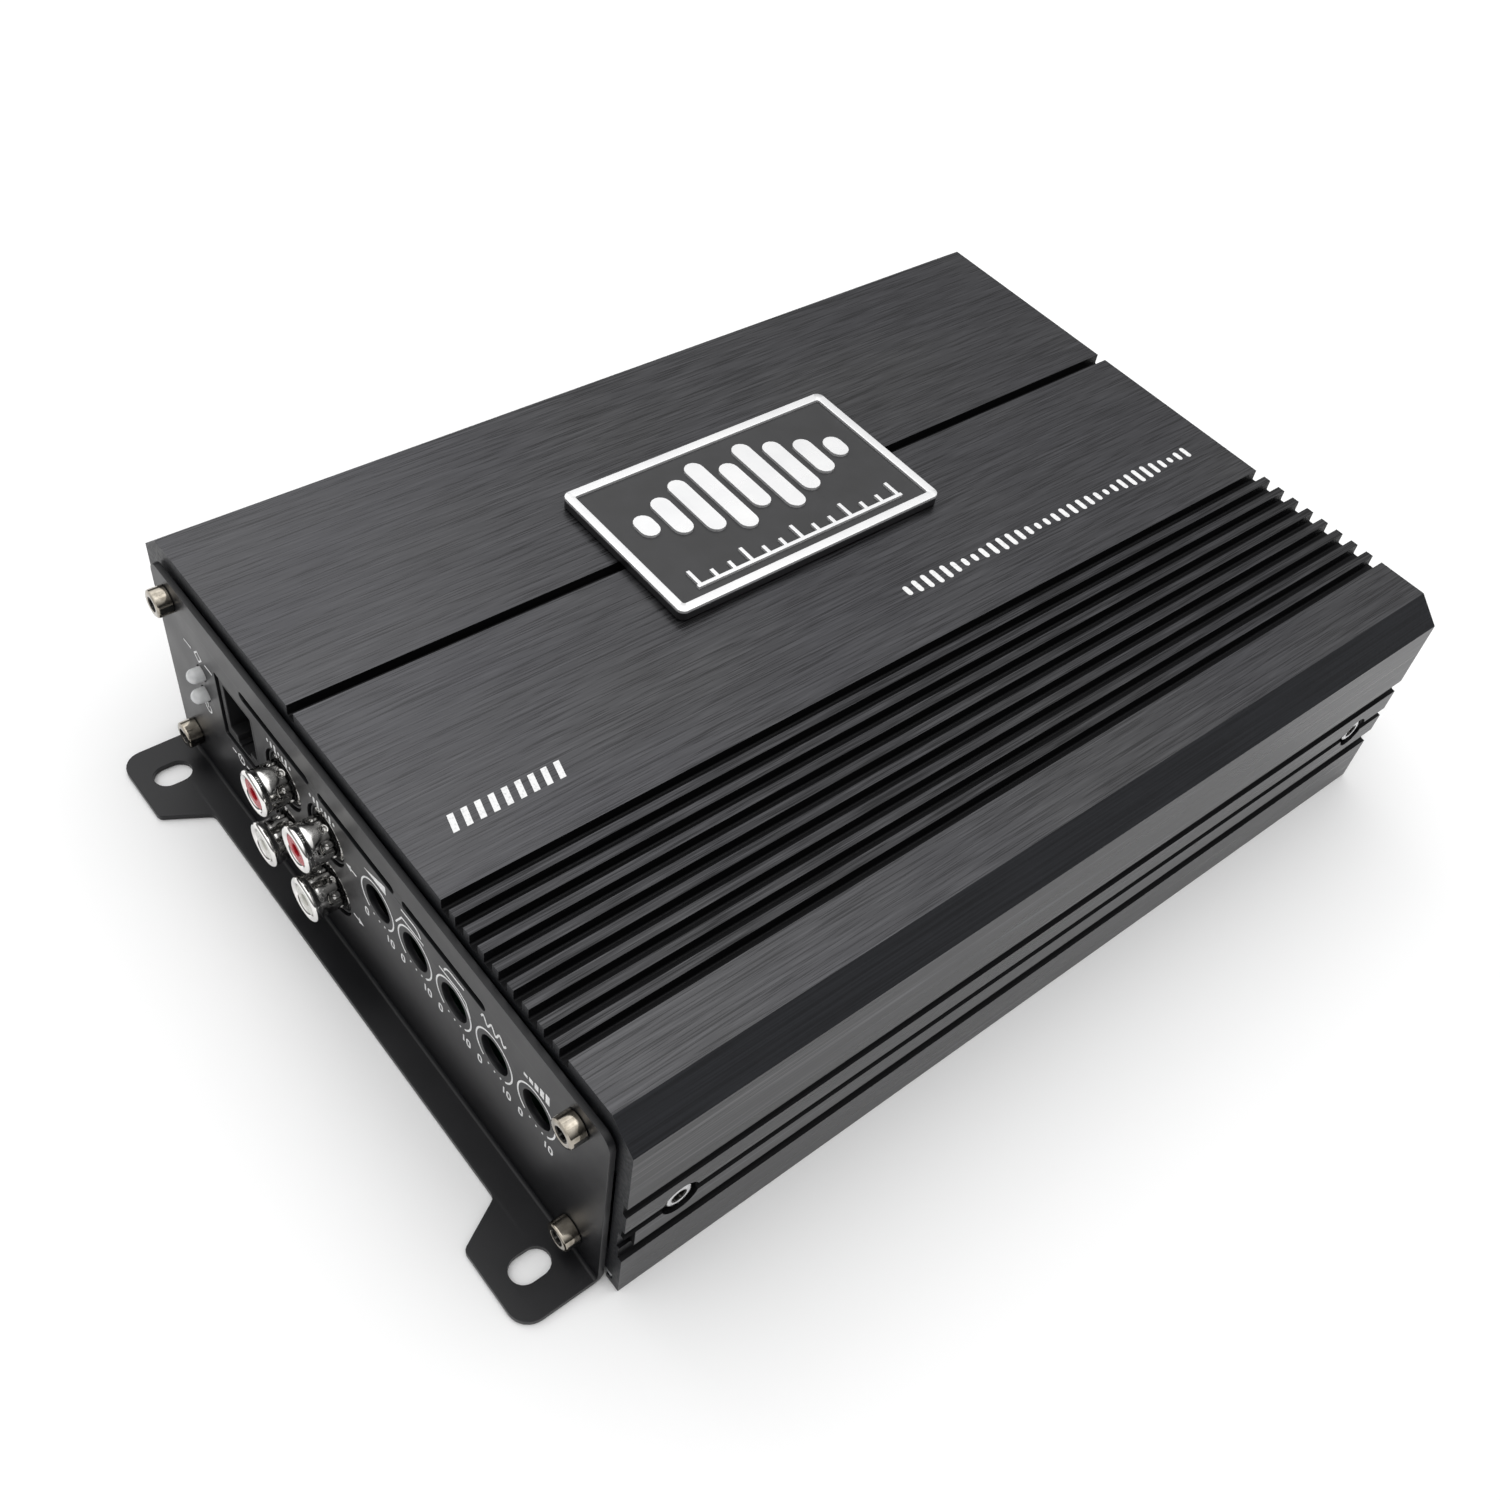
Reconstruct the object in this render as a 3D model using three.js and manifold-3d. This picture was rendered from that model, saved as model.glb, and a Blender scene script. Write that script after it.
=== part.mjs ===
// Compact car-audio amplifier: an extruded, finned aluminium case with a bent steel
// foot panel at each end. The control end faces -X and the power end faces +X.
// Millimetres, +Z up, origin at the middle of the footprint.

import * as THREE from 'three';
import { mergeVertices } from 'three/addons/utils/BufferGeometryUtils.js';
import Module from 'manifold-3d';

const wasm = await Module();
wasm.setup();

// ---------------------------------------------------------------- driving dimensions

const GAP = 0.3;                       // clearance between neighbouring pieces

const BODY_LENGTH = 200;               // extrusion along X
const BODY_WIDTH = 149.4;
const BODY_HEIGHT = 51.2;
const TOP_WALL = 4.4;
const SIDE_WALL = 3.3;
const CHAMFER_Y = 5.4;                 // bevel of both long top edges
const CHAMFER_Z = 4.8;

const GROOVE_WIDTH = 2.25;             // cooling grooves of the top
const GROOVE_DEPTH = 2.4;
const GROOVE_PITCH = 3.93;
const GROOVE_COUNT = 9;
const FIRST_GROOVE_Y = -26.07;
const BADGE_GROOVE_Y = 21.15;          // single groove that runs under the badge

// trim grooves of the long sides: lower lip, upper lip, depth
const SIDE_GROOVES = [[11.4, 15.0, 1.0], [19.7, 21.9, 0.8], [27.2, 30.3, 0.9]];
const SIDE_SCREW_X = 89;
const SIDE_SCREW_Z = 20.7;
const POCKET_R = 3.6;
const POCKET_DEPTH = 2.0;

const PANEL_T = 1.2;                   // bent steel end panels
const PANEL_HALF_WIDTH = 70.6;
const PANEL_SHIFT = -0.9;              // the blank sits this far off centre along Y
const PANEL_TOP = 47.7;
const PANEL_CORNER_R = 3;
const BEND_R = 2.0;                    // outer radius of the foot bend
const FOOT_STRIP = 107.2;              // reach of the foot between its ears
const FOOT_REACH = 116;                // reach of the ears
const EAR_WIDTH = 17.1;
const EAR_SLOPE = 4.1;                 // the ear's inner edge widens by this much
const EAR_CORNER_R = 4;
const SLOT_X = 109;                    // mounting slots, long way along X
const SLOT_Y = 62.2;
const SLOT_LENGTH = 7.4;
const SLOT_WIDTH = 5.3;

const END_SCREW_Y = 63.9;              // M3 cap screws that hold the end panels
const END_SCREW_TOP_Z = 42.3;
const END_SCREW_LOW_Z = 7.0;
const M3_R = 1.5;
const M3_HEAD_R = 2.75;
const M3_HEAD_H = 3.0;
const M3_HEX = 2.5;                    // across flats
const CLAMP_HEAD_R = 2.6;              // low heads of the clamp screws
const CLAMP_HEAD_SINK = 0.4;           // how far below the wall's face they lie
const SCREW_BORE_R = M3_R + GAP;

const BOARD_HALF_WIDTH = 59.8;
const BOARD_BOTTOM = 4.8;
const BOARD_T = 1.6;
const BOARD_TOP = BOARD_BOTTOM + BOARD_T;
const ON_BOARD = BOARD_TOP + GAP;
const FLOOR_PLATE_BOTTOM = 1.5;
const FLOOR_PLATE_T = 1.2;

const DIAL_Y = -6.8;                   // first of the five trim controls
const DIAL_PITCH = 11.65;
const DIAL_Z = 30.4;
const DIAL_COUNT = 5;
const DIAL_HOLE_R = 3.7;
const DIAL_BODY_FRONT = -97.6;
const DIAL_TIP = -98.8;
const ROTOR_R = 3.0;
const ROTOR_LENGTH = 6.6;
const CONTROL_BOARD_X = -90.5;
const RCA_Y = [24.8, 10.2];
const RCA_Z = [30.6, 16.2];
const RCA_HOLE_R = 6.1;
const RCA_FACE = -99.7;                // front of the moulded block behind the panel
const RCA_SHELL_BASE = RCA_FACE - GAP;
const RCA_SHELL_LENGTH = 7.4;
const RCA_SHELL_R = 4.15;
const RCA_RIM_R = 4.45;
const RCA_SHELL_BORE = 3.3;
const RCA_PIN_HOLE_R = 1.6;
const LED_Y = 54.8;
const LED_Z = [31.0, 25.6];
const LED_R = 1.5;
const LED_BACK = -98.4;
const PORT_Y = [34.6, 48.5];           // remote level port, window in the panel
const PORT_Z = [20.7, 37.0];
const VENT_Y = [26.1, -0.9, -27.4];
const VENT_Z = 40.6;
const VENT_LENGTH = 24;
const VENT_HEIGHT = 2.0;

const BADGE = { x: -1, y: 22, width: 64.5, depth: 37.8, r: 1.6 };
const BADGE_BASE = 1.7;
const BADGE_RELIEF = 0.6;

const TERMINAL_Y = [-44, -30, -16, 0, 13];   // wire entries of the power end
const TERMINAL_R = [4.0, 3.0, 4.0, 3.3, 3.3];
const TERMINAL_Z = 14.4;
const TERMINAL_TOP = 24;
const TERMINAL_FRONT = 112.4;
const TERMINAL_SCREW_X = 107.2;
const TERMINAL_SCREW_R = 2.4;
const BLOCK_Y = [-52, 54];             // connector block of the power end
const BLOCK_STEP_Y = 28.5;             // its fuse part starts here
const BLOCK_BACK = 88;
const BLOCK_LOW = 9.2;
const FUSE_TOP = 33;
const FUSE_Y = 42;
const FUSE_Z = [14.8, 26.4];
const FUSE_FRONT = 102.3;
const FUSE_BLADE_Y = 6.9;
const FUSE_BODY = 12.2;

const TRANSISTOR_X = [-30, 30];
const TRANSISTOR_T = 4.4;
const TRANSISTOR_Z = 20.8;
const CLAMP_T = 3;

const HALF_LENGTH = BODY_LENGTH / 2;
const HALF_WIDTH = BODY_WIDTH / 2;
const PANEL_BACK = HALF_LENGTH + GAP;
const PANEL_FRONT = PANEL_BACK + PANEL_T;
const CAVITY_Y = HALF_WIDTH - SIDE_WALL;
const CAVITY_TOP = BODY_HEIGHT - TOP_WALL;

// ---------------------------------------------------------------- materials

const paint = (color, roughness, metalness = 0) =>
  new THREE.MeshStandardMaterial({ color, roughness, metalness });

const anodised = paint(0x2b2c30, 0.45, 0.8);
const panelPaint = paint(0x1d1d20, 0.5, 0.2);
const zinc = paint(0x8d9094, 0.45, 0.9);
const nickel = paint(0xc9c2b4, 0.25, 1.0);
const darkSteel = paint(0x55575a, 0.4, 0.9);
const badgeBlack = paint(0x15161a, 0.4, 0.3);
const blackPlastic = paint(0x111113, 0.6);
const redPlastic = paint(0xa81f22, 0.5);
const whitePlastic = paint(0xe8e6e0, 0.5);
const clearPlastic = paint(0xdfe4e6, 0.2);
const boardGreen = paint(0x1f4a33, 0.6);
const ferrite = paint(0x3a3f45, 0.7);
const copper = paint(0xb0693c, 0.35, 0.9);
const sleeve = paint(0x1b2742, 0.4);
const bareAluminium = paint(0xb8babc, 0.4, 0.9);
const epoxy = paint(0x17171a, 0.6);
const fuseYellow = paint(0xd9b21e, 0.3);

// ---------------------------------------------------------------- solids

/** A manifold solid from a closed three.js geometry. */
function solid(geometry) {
  const bare = geometry.clone();
  bare.deleteAttribute('normal');
  bare.deleteAttribute('uv');
  const merged = mergeVertices(bare, 1e-4);
  const index = merged.index.array;
  const triangles = [];
  for (let i = 0; i < index.length; i += 3) {
    const [a, b, c] = [index[i], index[i + 1], index[i + 2]];
    if (a !== b && b !== c && c !== a) triangles.push(a, b, c);
  }
  return new wasm.Manifold(new wasm.Mesh({
    numProp: 3,
    vertProperties: new Float32Array(merged.attributes.position.array),
    triVerts: new Uint32Array(triangles),
  }));
}

/** A three.js geometry from a manifold solid. */
function geometryOf(body) {
  const mesh = body.getMesh();
  const geometry = new THREE.BufferGeometry();
  geometry.setAttribute('position', new THREE.BufferAttribute(mesh.vertProperties, 3));
  geometry.setIndex(new THREE.BufferAttribute(mesh.triVerts, 1));
  geometry.computeVertexNormals();
  return geometry;
}

const join = (...bodies) => bodies.reduce((sum, body) => sum.add(body));
const cut = (body, ...tools) => tools.reduce((left, tool) => left.subtract(tool), body);

/** Box between two corners. */
function box(x0, x1, y0, y1, z0, z1) {
  const geometry = new THREE.BoxGeometry(x1 - x0, y1 - y0, z1 - z0);
  geometry.translate((x0 + x1) / 2, (y0 + y1) / 2, (z0 + z1) / 2);
  return geometry;
}

const boxSolid = (...corners) => solid(box(...corners));

const AXES = {
  x: [new THREE.Vector3(0, 1, 0), new THREE.Vector3(0, 0, 1), new THREE.Vector3(1, 0, 0)],
  y: [new THREE.Vector3(0, 0, 1), new THREE.Vector3(1, 0, 0), new THREE.Vector3(0, 1, 0)],
  z: [new THREE.Vector3(1, 0, 0), new THREE.Vector3(0, 1, 0), new THREE.Vector3(0, 0, 1)],
};

/**
 * Extrudes an outline along an axis. The outline's two coordinates are the next two
 * axes in the order X, Y, Z, X: (y, z) along x, (z, x) along y and (x, y) along z.
 */
function extrude(axis, shape, from, to, curveSegments = 6) {
  const geometry = new THREE.ExtrudeGeometry(shape, {
    depth: to - from,
    bevelEnabled: false,
    curveSegments,
  });
  geometry.translate(0, 0, from);
  return geometry.applyMatrix4(new THREE.Matrix4().makeBasis(...AXES[axis]));
}

/** Round bar along an axis; the centre is given in the outline's two coordinates. */
function rod(axis, centre, r, from, to, segments = 14) {
  const shape = new THREE.Shape();
  for (let i = 0; i < segments; i += 1) {
    const angle = (2 * Math.PI * i) / segments;
    const point = [centre[0] + r * Math.cos(angle), centre[1] + r * Math.sin(angle)];
    if (i === 0) shape.moveTo(...point);
    else shape.lineTo(...point);
  }
  shape.closePath();
  return extrude(axis, shape, from, to);
}

/** Turned piece: profile of [radius, height] points, its height along a direction. */
function turned(direction, profile, segments = 14) {
  const points = profile.map(([r, h]) => new THREE.Vector2(r, h));
  const geometry = new THREE.LatheGeometry(points, segments);
  if (direction === '-x') geometry.rotateZ(Math.PI / 2);
  if (direction === '+x') geometry.rotateZ(-Math.PI / 2);
  if (direction === '-y') geometry.rotateX(Math.PI);
  if (direction === '+z') geometry.rotateX(Math.PI / 2);
  return geometry;
}

/** Rectangle with rounded corners, as a Shape or, when asked, as a hole's Path. */
function roundedRect(x0, x1, y0, y1, r, Kind = THREE.Shape) {
  const shape = new Kind();
  shape.moveTo(x0 + r, y0);
  shape.lineTo(x1 - r, y0);
  shape.absarc(x1 - r, y0 + r, r, -Math.PI / 2, 0, false);
  shape.lineTo(x1, y1 - r);
  shape.absarc(x1 - r, y1 - r, r, 0, Math.PI / 2, false);
  shape.lineTo(x0 + r, y1);
  shape.absarc(x0 + r, y1 - r, r, Math.PI / 2, Math.PI, false);
  shape.lineTo(x0, y0 + r);
  shape.absarc(x0 + r, y0 + r, r, Math.PI, Math.PI * 1.5, false);
  return shape;
}

/** Round-ended slot as a solid tool along an axis. */
function slotTool(axis, centre, length, width, from, to) {
  const [u, v] = centre;
  const r = width / 2 - 0.001;
  const shape = roundedRect(u - length / 2, u + length / 2, v - width / 2, v + width / 2, r);
  return solid(extrude(axis, shape, from, to, 3));
}

// ---------------------------------------------------------------- assembly

const amplifier = new THREE.Group();

function add(name, geometry, material, x = 0, y = 0, z = 0) {
  const mesh = new THREE.Mesh(geometry, material);
  mesh.name = name;
  mesh.position.set(x, y, z);
  amplifier.add(mesh);
  return mesh;
}

// ---------------------------------------------------------------- heat-sink extrusion

/** Outer outline of one long side from its foot up to the chamfer; side is -1 or 1. */
function sideOutline(side) {
  const outline = [[side * HALF_WIDTH, 0]];
  for (const [low, high, depth] of SIDE_GROOVES) {
    const inner = side * (HALF_WIDTH - depth);
    outline.push([side * HALF_WIDTH, low], [inner, low + 0.3]);
    outline.push([inner, high], [side * HALF_WIDTH, high]);
  }
  outline.push([side * HALF_WIDTH, BODY_HEIGHT - CHAMFER_Z]);
  outline.push([side * (HALF_WIDTH - CHAMFER_Y), BODY_HEIGHT]);
  return outline;
}

/** One cooling groove of the top, from its -Y lip to its +Y lip. */
function topGroove(y) {
  const half = GROOVE_WIDTH / 2;
  const fillet = 0.4;
  const floor = BODY_HEIGHT - GROOVE_DEPTH;
  return [
    [y - half, BODY_HEIGHT], [y - half, floor + fillet], [y - half + fillet, floor],
    [y + half - fillet, floor], [y + half, floor + fillet], [y + half, BODY_HEIGHT],
  ];
}

/** Inner outline of one long side, from its foot up into the cavity's corner. */
function innerOutline(side) {
  const wall = CAVITY_Y;
  const rail = BOARD_HALF_WIDTH - 2.3;
  const bossEdge = BOARD_HALF_WIDTH + GAP;
  const topBoss = END_SCREW_Y - 3.4;
  const plate = FLOOR_PLATE_BOTTOM - GAP;
  const plateTop = FLOOR_PLATE_BOTTOM + FLOOR_PLATE_T + GAP;
  const railSlot = [BOARD_BOTTOM - GAP, BOARD_TOP + GAP];
  const points = [
    [wall, 0], [wall, plate], [wall + 1.5, plate], [wall + 1.5, plateTop],
    [rail, plateTop], [rail, railSlot[0]], [bossEdge, railSlot[0]], [bossEdge, railSlot[1]],
    [rail, railSlot[1]], [rail, railSlot[1] + 1.3], [bossEdge, END_SCREW_LOW_Z + 2.8],
    [bossEdge + 0.8, END_SCREW_LOW_Z + 3.4], [wall, END_SCREW_LOW_Z + 3.4],
    [wall, END_SCREW_TOP_Z - 5.2], [END_SCREW_Y + 3.4, END_SCREW_TOP_Z - 3.4],
    [topBoss, END_SCREW_TOP_Z - 3.4], [topBoss, CAVITY_TOP],
  ];
  return points.map(([y, z]) => [side * y, z]);
}

function extrusionShape() {
  const outline = [...sideOutline(-1)];
  for (let i = GROOVE_COUNT - 1; i >= 0; i -= 1) {
    outline.push(...topGroove(FIRST_GROOVE_Y - i * GROOVE_PITCH));
  }
  outline.push(...topGroove(BADGE_GROOVE_Y));
  outline.push(...sideOutline(1).reverse());
  outline.push(...innerOutline(1), ...innerOutline(-1).reverse());
  return new THREE.Shape(outline.map(([y, z]) => new THREE.Vector2(y, z)));
}

function heatSink() {
  let body = solid(extrude('x', extrusionShape(), -HALF_LENGTH, HALF_LENGTH));
  for (const side of [-1, 1]) {
    for (const z of [END_SCREW_TOP_Z, END_SCREW_LOW_Z]) {
      const bore = rod('x', [side * END_SCREW_Y, z], SCREW_BORE_R, -101, 101, 10);
      body = cut(body, solid(bore));
    }
    for (const x of [-SIDE_SCREW_X, SIDE_SCREW_X]) {
      const faces = [side * (HALF_WIDTH - POCKET_DEPTH), side * (HALF_WIDTH + 1)];
      const depth = [Math.min(...faces), Math.max(...faces)];
      const inner = [side * (CAVITY_Y - 1), side * HALF_WIDTH];
      const through = [Math.min(...inner), Math.max(...inner)];
      const pocket = rod('y', [SIDE_SCREW_Z, x], POCKET_R, ...depth, 16);
      const hole = rod('y', [SIDE_SCREW_Z, x], SCREW_BORE_R, ...through, 10);
      body = cut(body, solid(pocket), solid(hole));
    }
  }
  return geometryOf(body);
}

add('heatsink_extrusion', heatSink(), anodised);

// The floor plate slides into the grooves at the foot of both side walls.
const floorHalfWidth = CAVITY_Y + 1.2;
const floorTop = FLOOR_PLATE_BOTTOM + FLOOR_PLATE_T;
const floorHalfLength = HALF_LENGTH - GAP;
add('bottom_plate',
  box(-floorHalfLength, floorHalfLength, -floorHalfWidth, floorHalfWidth,
    FLOOR_PLATE_BOTTOM, floorTop),
  zinc);

// ---------------------------------------------------------------- end panels

/** Plan outline of the foot, in (x, y), on the -X end: a strip with an ear at each end. */
function footOutline(inner) {
  const edge = PANEL_HALF_WIDTH;
  const r = EAR_CORNER_R;
  const tip = edge - EAR_WIDTH;
  const root = tip - EAR_SLOPE;
  const innerEdge = [
    [FOOT_REACH, tip + 0.8], [FOOT_REACH - 0.4, tip], [FOOT_STRIP + 0.8, root],
    [FOOT_STRIP + 0.2, root - 0.6], [FOOT_STRIP, root - 1.4],
  ];
  const shape = new THREE.Shape();
  shape.moveTo(-inner, -edge);
  shape.lineTo(-inner, edge);
  shape.lineTo(-FOOT_REACH + r, edge);
  shape.absarc(-FOOT_REACH + r, edge - r, r, Math.PI / 2, Math.PI, false);
  for (const [x, y] of innerEdge) shape.lineTo(-x, y);
  for (const [x, y] of [...innerEdge].reverse()) shape.lineTo(-x, -y);
  shape.lineTo(-FOOT_REACH, -edge + r);
  shape.absarc(-FOOT_REACH + r, -edge + r, r, Math.PI, Math.PI * 1.5, false);
  shape.closePath();
  return shape;
}

/** Bent corner between plate and foot, in (z, x), on the -X end. */
function bendOutline(reach, height) {
  const outer = BEND_R;
  const inner = BEND_R - PANEL_T;
  const centreX = -PANEL_BACK - outer;
  const shape = new THREE.Shape();
  shape.moveTo(0, centreX - reach);
  shape.lineTo(0, centreX);
  shape.absarc(outer, centreX, outer, Math.PI, Math.PI / 2, true);
  shape.lineTo(height, -PANEL_BACK);
  shape.lineTo(height, -PANEL_FRONT);
  shape.lineTo(outer, -PANEL_FRONT);
  shape.absarc(outer, centreX, inner, Math.PI / 2, Math.PI, false);
  shape.lineTo(PANEL_T, centreX - reach);
  shape.closePath();
  return shape;
}

/** Blank end panel on the -X end: plate, bend, foot, screw holes and mounting slots. */
function blankPanel() {
  const edge = PANEL_HALF_WIDTH;
  const r = PANEL_CORNER_R;
  const plate = new THREE.Shape();
  plate.moveTo(-edge, 4);
  plate.lineTo(edge, 4);
  plate.lineTo(edge, PANEL_TOP - r);
  plate.absarc(edge - r, PANEL_TOP - r, r, 0, Math.PI / 2, false);
  plate.lineTo(-edge + r, PANEL_TOP);
  plate.absarc(-edge + r, PANEL_TOP - r, r, Math.PI / 2, Math.PI, false);
  plate.closePath();
  let body = join(
    solid(extrude('x', plate, -PANEL_FRONT, -PANEL_BACK, 4)),
    solid(extrude('y', bendOutline(1, 5), -edge, edge, 4)),
    solid(extrude('z', footOutline(PANEL_BACK + BEND_R + 0.5), 0, PANEL_T, 4)),
  );
  for (const side of [-1, 1]) {
    body = cut(body, slotTool('z', [-SLOT_X, side * SLOT_Y], SLOT_LENGTH, SLOT_WIDTH, -1, 3));
  }
  body = body.translate([0, PANEL_SHIFT, 0]);
  for (const side of [-1, 1]) {
    for (const z of [END_SCREW_TOP_Z, END_SCREW_LOW_Z]) {
      body = cut(body, solid(rod('x', [side * END_SCREW_Y, z], SCREW_BORE_R, -103, -99, 10)));
    }
  }
  return body;
}

const ventSlots = () => VENT_Y.map(
  (y) => slotTool('x', [y, VENT_Z], VENT_LENGTH, VENT_HEIGHT, -103, -99));

function controlPanel() {
  const holes = ventSlots();
  for (let i = 0; i < DIAL_COUNT; i += 1) {
    const centre = [DIAL_Y - i * DIAL_PITCH, DIAL_Z];
    holes.push(solid(rod('x', centre, DIAL_HOLE_R, -103, -99, 16)));
  }
  for (const y of RCA_Y) {
    for (const z of RCA_Z) holes.push(solid(rod('x', [y, z], RCA_HOLE_R, -103, -99, 20)));
  }
  for (const z of LED_Z) holes.push(solid(rod('x', [LED_Y, z], LED_R + GAP, -103, -99, 10)));
  holes.push(boxSolid(-103, -99, ...PORT_Y, ...PORT_Z));
  return geometryOf(cut(blankPanel(), ...holes));
}

/** The same blank turned half round, with the stepped window of the connector block. */
function powerPanel() {
  const low = BLOCK_LOW - 0.4;
  const openings = [
    boxSolid(99, 103, BLOCK_Y[0] - 0.4, BLOCK_STEP_Y + 1, low, TERMINAL_TOP + 0.4),
    boxSolid(99, 103, BLOCK_STEP_Y - 0.4, BLOCK_Y[1] + 0.4, low, FUSE_TOP + 0.4),
  ];
  const turnedBlank = cut(blankPanel(), ...ventSlots()).rotate([0, 0, 180]);
  return geometryOf(cut(turnedBlank, ...openings));
}

add('control_end_panel', controlPanel(), panelPaint);
add('power_end_panel', powerPanel(), panelPaint);

// ---------------------------------------------------------------- screws

/** M3 socket-head cap screw: its underside at 0, the head outwards, the shank inwards. */
function capScrew(direction, shankLength) {
  const body = solid(turned(direction, [
    [0, -shankLength], [M3_R - 0.3, -shankLength], [M3_R, -shankLength + 0.5], [M3_R, 0],
    [M3_HEAD_R, 0], [M3_HEAD_R, M3_HEAD_H - 0.3], [M3_HEAD_R - 0.3, M3_HEAD_H],
    [0, M3_HEAD_H],
  ], 12));
  const socketR = M3_HEX / Math.sqrt(3);
  const socket = turned(direction, [
    [0, M3_HEAD_H - 1.6], [socketR, M3_HEAD_H - 1.4], [socketR, M3_HEAD_H + 0.5],
    [0, M3_HEAD_H + 0.5],
  ], 6);
  return geometryOf(cut(body, solid(socket)));
}

const endScrewPlaces = [
  [END_SCREW_Y, END_SCREW_TOP_Z], [-END_SCREW_Y, END_SCREW_TOP_Z],
  [END_SCREW_Y, END_SCREW_LOW_Z], [-END_SCREW_Y, END_SCREW_LOW_Z],
];
endScrewPlaces.forEach(([y, z], i) => {
  const seat = PANEL_FRONT + 0.05;
  add(`control_panel_screw_${i + 1}`, capScrew('-x', 9), nickel, -seat, y, z);
  add(`power_panel_screw_${i + 1}`, capScrew('+x', 9), nickel, seat, y, z);
});

const sideScrewSeat = HALF_WIDTH - POCKET_DEPTH + 0.05;

/** Low-head M3 screw of the transistor clamp, sunk in its pocket of the side wall. */
function clampScrew(direction) {
  const head = POCKET_DEPTH - CLAMP_HEAD_SINK - 0.05;
  const body = solid(turned(direction, [
    [0, -9], [M3_R, -9], [M3_R, 0], [CLAMP_HEAD_R, 0], [CLAMP_HEAD_R, head - 0.3],
    [CLAMP_HEAD_R - 0.3, head], [0, head],
  ], 12));
  const socketR = M3_HEX / Math.sqrt(3);
  const socket = turned(direction, [
    [0, head - 1.1], [socketR, head - 1.0], [socketR, head + 0.5], [0, head + 0.5],
  ], 6);
  return geometryOf(cut(body, solid(socket)));
}
for (const [label, side] of [['front', -1], ['rear', 1]]) {
  const direction = side < 0 ? '-y' : '+y';
  add(`${label}_clamp_screw_1`, clampScrew(direction), darkSteel,
    -SIDE_SCREW_X, side * sideScrewSeat, SIDE_SCREW_Z);
  add(`${label}_clamp_screw_2`, clampScrew(direction), darkSteel,
    SIDE_SCREW_X, side * sideScrewSeat, SIDE_SCREW_Z);
}

// ---------------------------------------------------------------- badge

/** Cast badge: a plaque with a raised rim, a row of level bars and a tuning scale. */
function badge() {
  const { x, y, width, depth, r } = BADGE;
  const base = BODY_HEIGHT + GAP;
  const field = base + BADGE_BASE;
  const top = field + BADGE_RELIEF;
  const rim = 1.4;
  const left = x - width / 2;
  const right = x + width / 2;
  const near = y - depth / 2;
  const far = y + depth / 2;
  const frame = roundedRect(left, right, near, far, r);
  frame.holes.push(roundedRect(left + rim, right - rim, near + rim, far - rim, 0.6, THREE.Path));
  const pieces = [
    solid(extrude('z', roundedRect(left, right, near, far, r), base, field, 4)),
    solid(extrude('z', frame, field - 0.1, top, 4)),
  ];
  const heights = [6, 11, 16, 21, 14, 21, 16, 11, 6];
  const barWidth = 3.6;
  const barPitch = 5.9;
  heights.forEach((height, i) => {
    const centre = x + (i - (heights.length - 1) / 2) * barPitch;
    const half = barWidth / 2;
    const bar = roundedRect(centre - half, centre + half, y + 3.4 - height / 2,
      y + 3.4 + height / 2, half - 0.01);
    pieces.push(solid(extrude('z', bar, field - 0.1, top, 2)));
  });
  const scaleY = y - 13.2;
  const tickCount = 13;
  pieces.push(boxSolid(x - 25.4, x + 25.4, scaleY - 1.9, scaleY - 1.1, field - 0.1, top));
  for (let i = 0; i < tickCount; i += 1) {
    const tickX = x + (i - (tickCount - 1) / 2) * 4.1;
    const height = i % 3 === 0 ? 4.2 : 2.4;
    pieces.push(boxSolid(tickX - 0.4, tickX + 0.4, scaleY - 1.5, scaleY - 1.5 + height,
      field - 0.1, top));
  }
  return geometryOf(join(...pieces));
}

add('badge', badge(), badgeBlack);

// ---------------------------------------------------------------- circuit boards

add('circuit_board',
  box(-98, 98, -BOARD_HALF_WIDTH, BOARD_HALF_WIDTH, BOARD_BOTTOM, BOARD_TOP),
  boardGreen);

add('control_board',
  box(CONTROL_BOARD_X, CONTROL_BOARD_X + BOARD_T, -57, -1.4, ON_BOARD, 38.6),
  boardGreen);

// ---------------------------------------------------------------- trim controls

/** Square body with a blind bore, on its shaft's axis, its front at 0 and facing -X. */
function dialBody() {
  const depth = CONTROL_BOARD_X - GAP - DIAL_BODY_FRONT;
  const block = boxSolid(0, depth, -4.9, 4.9, -5.4, 5.4);
  const collar = solid(rod('x', [0, 0], 4.4, -0.6, 0.5, 16));
  const bore = solid(rod('x', [0, 0], ROTOR_R + GAP, -2, 5.8, 16));
  return geometryOf(cut(join(block, collar), bore));
}

/** Rotor with a screwdriver slot in its tip; its tip is at 0 and faces -X. */
function dialRotor() {
  const shaft = solid(rod('x', [0, 0], ROTOR_R, 0, ROTOR_LENGTH, 16));
  const slot = boxSolid(-1, 1.4, -0.5, 0.5, -2.5, 2.5);
  return geometryOf(cut(shaft, slot));
}

const dialNames = ['gain', 'low_pass', 'subsonic', 'boost_frequency', 'boost_level'];
for (let i = 0; i < DIAL_COUNT; i += 1) {
  const y = DIAL_Y - i * DIAL_PITCH;
  add(`${dialNames[i]}_control_body`, dialBody(), blackPlastic, DIAL_BODY_FRONT, y, DIAL_Z);
  add(`${dialNames[i]}_rotor`, dialRotor(), darkSteel, DIAL_TIP, y, DIAL_Z);
}

// ---------------------------------------------------------------- input jacks

add('rca_block',
  box(RCA_FACE, -86, RCA_Y[1] - 7, RCA_Y[0] + 7, ON_BOARD, RCA_Z[0] + 7.2),
  blackPlastic);

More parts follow.
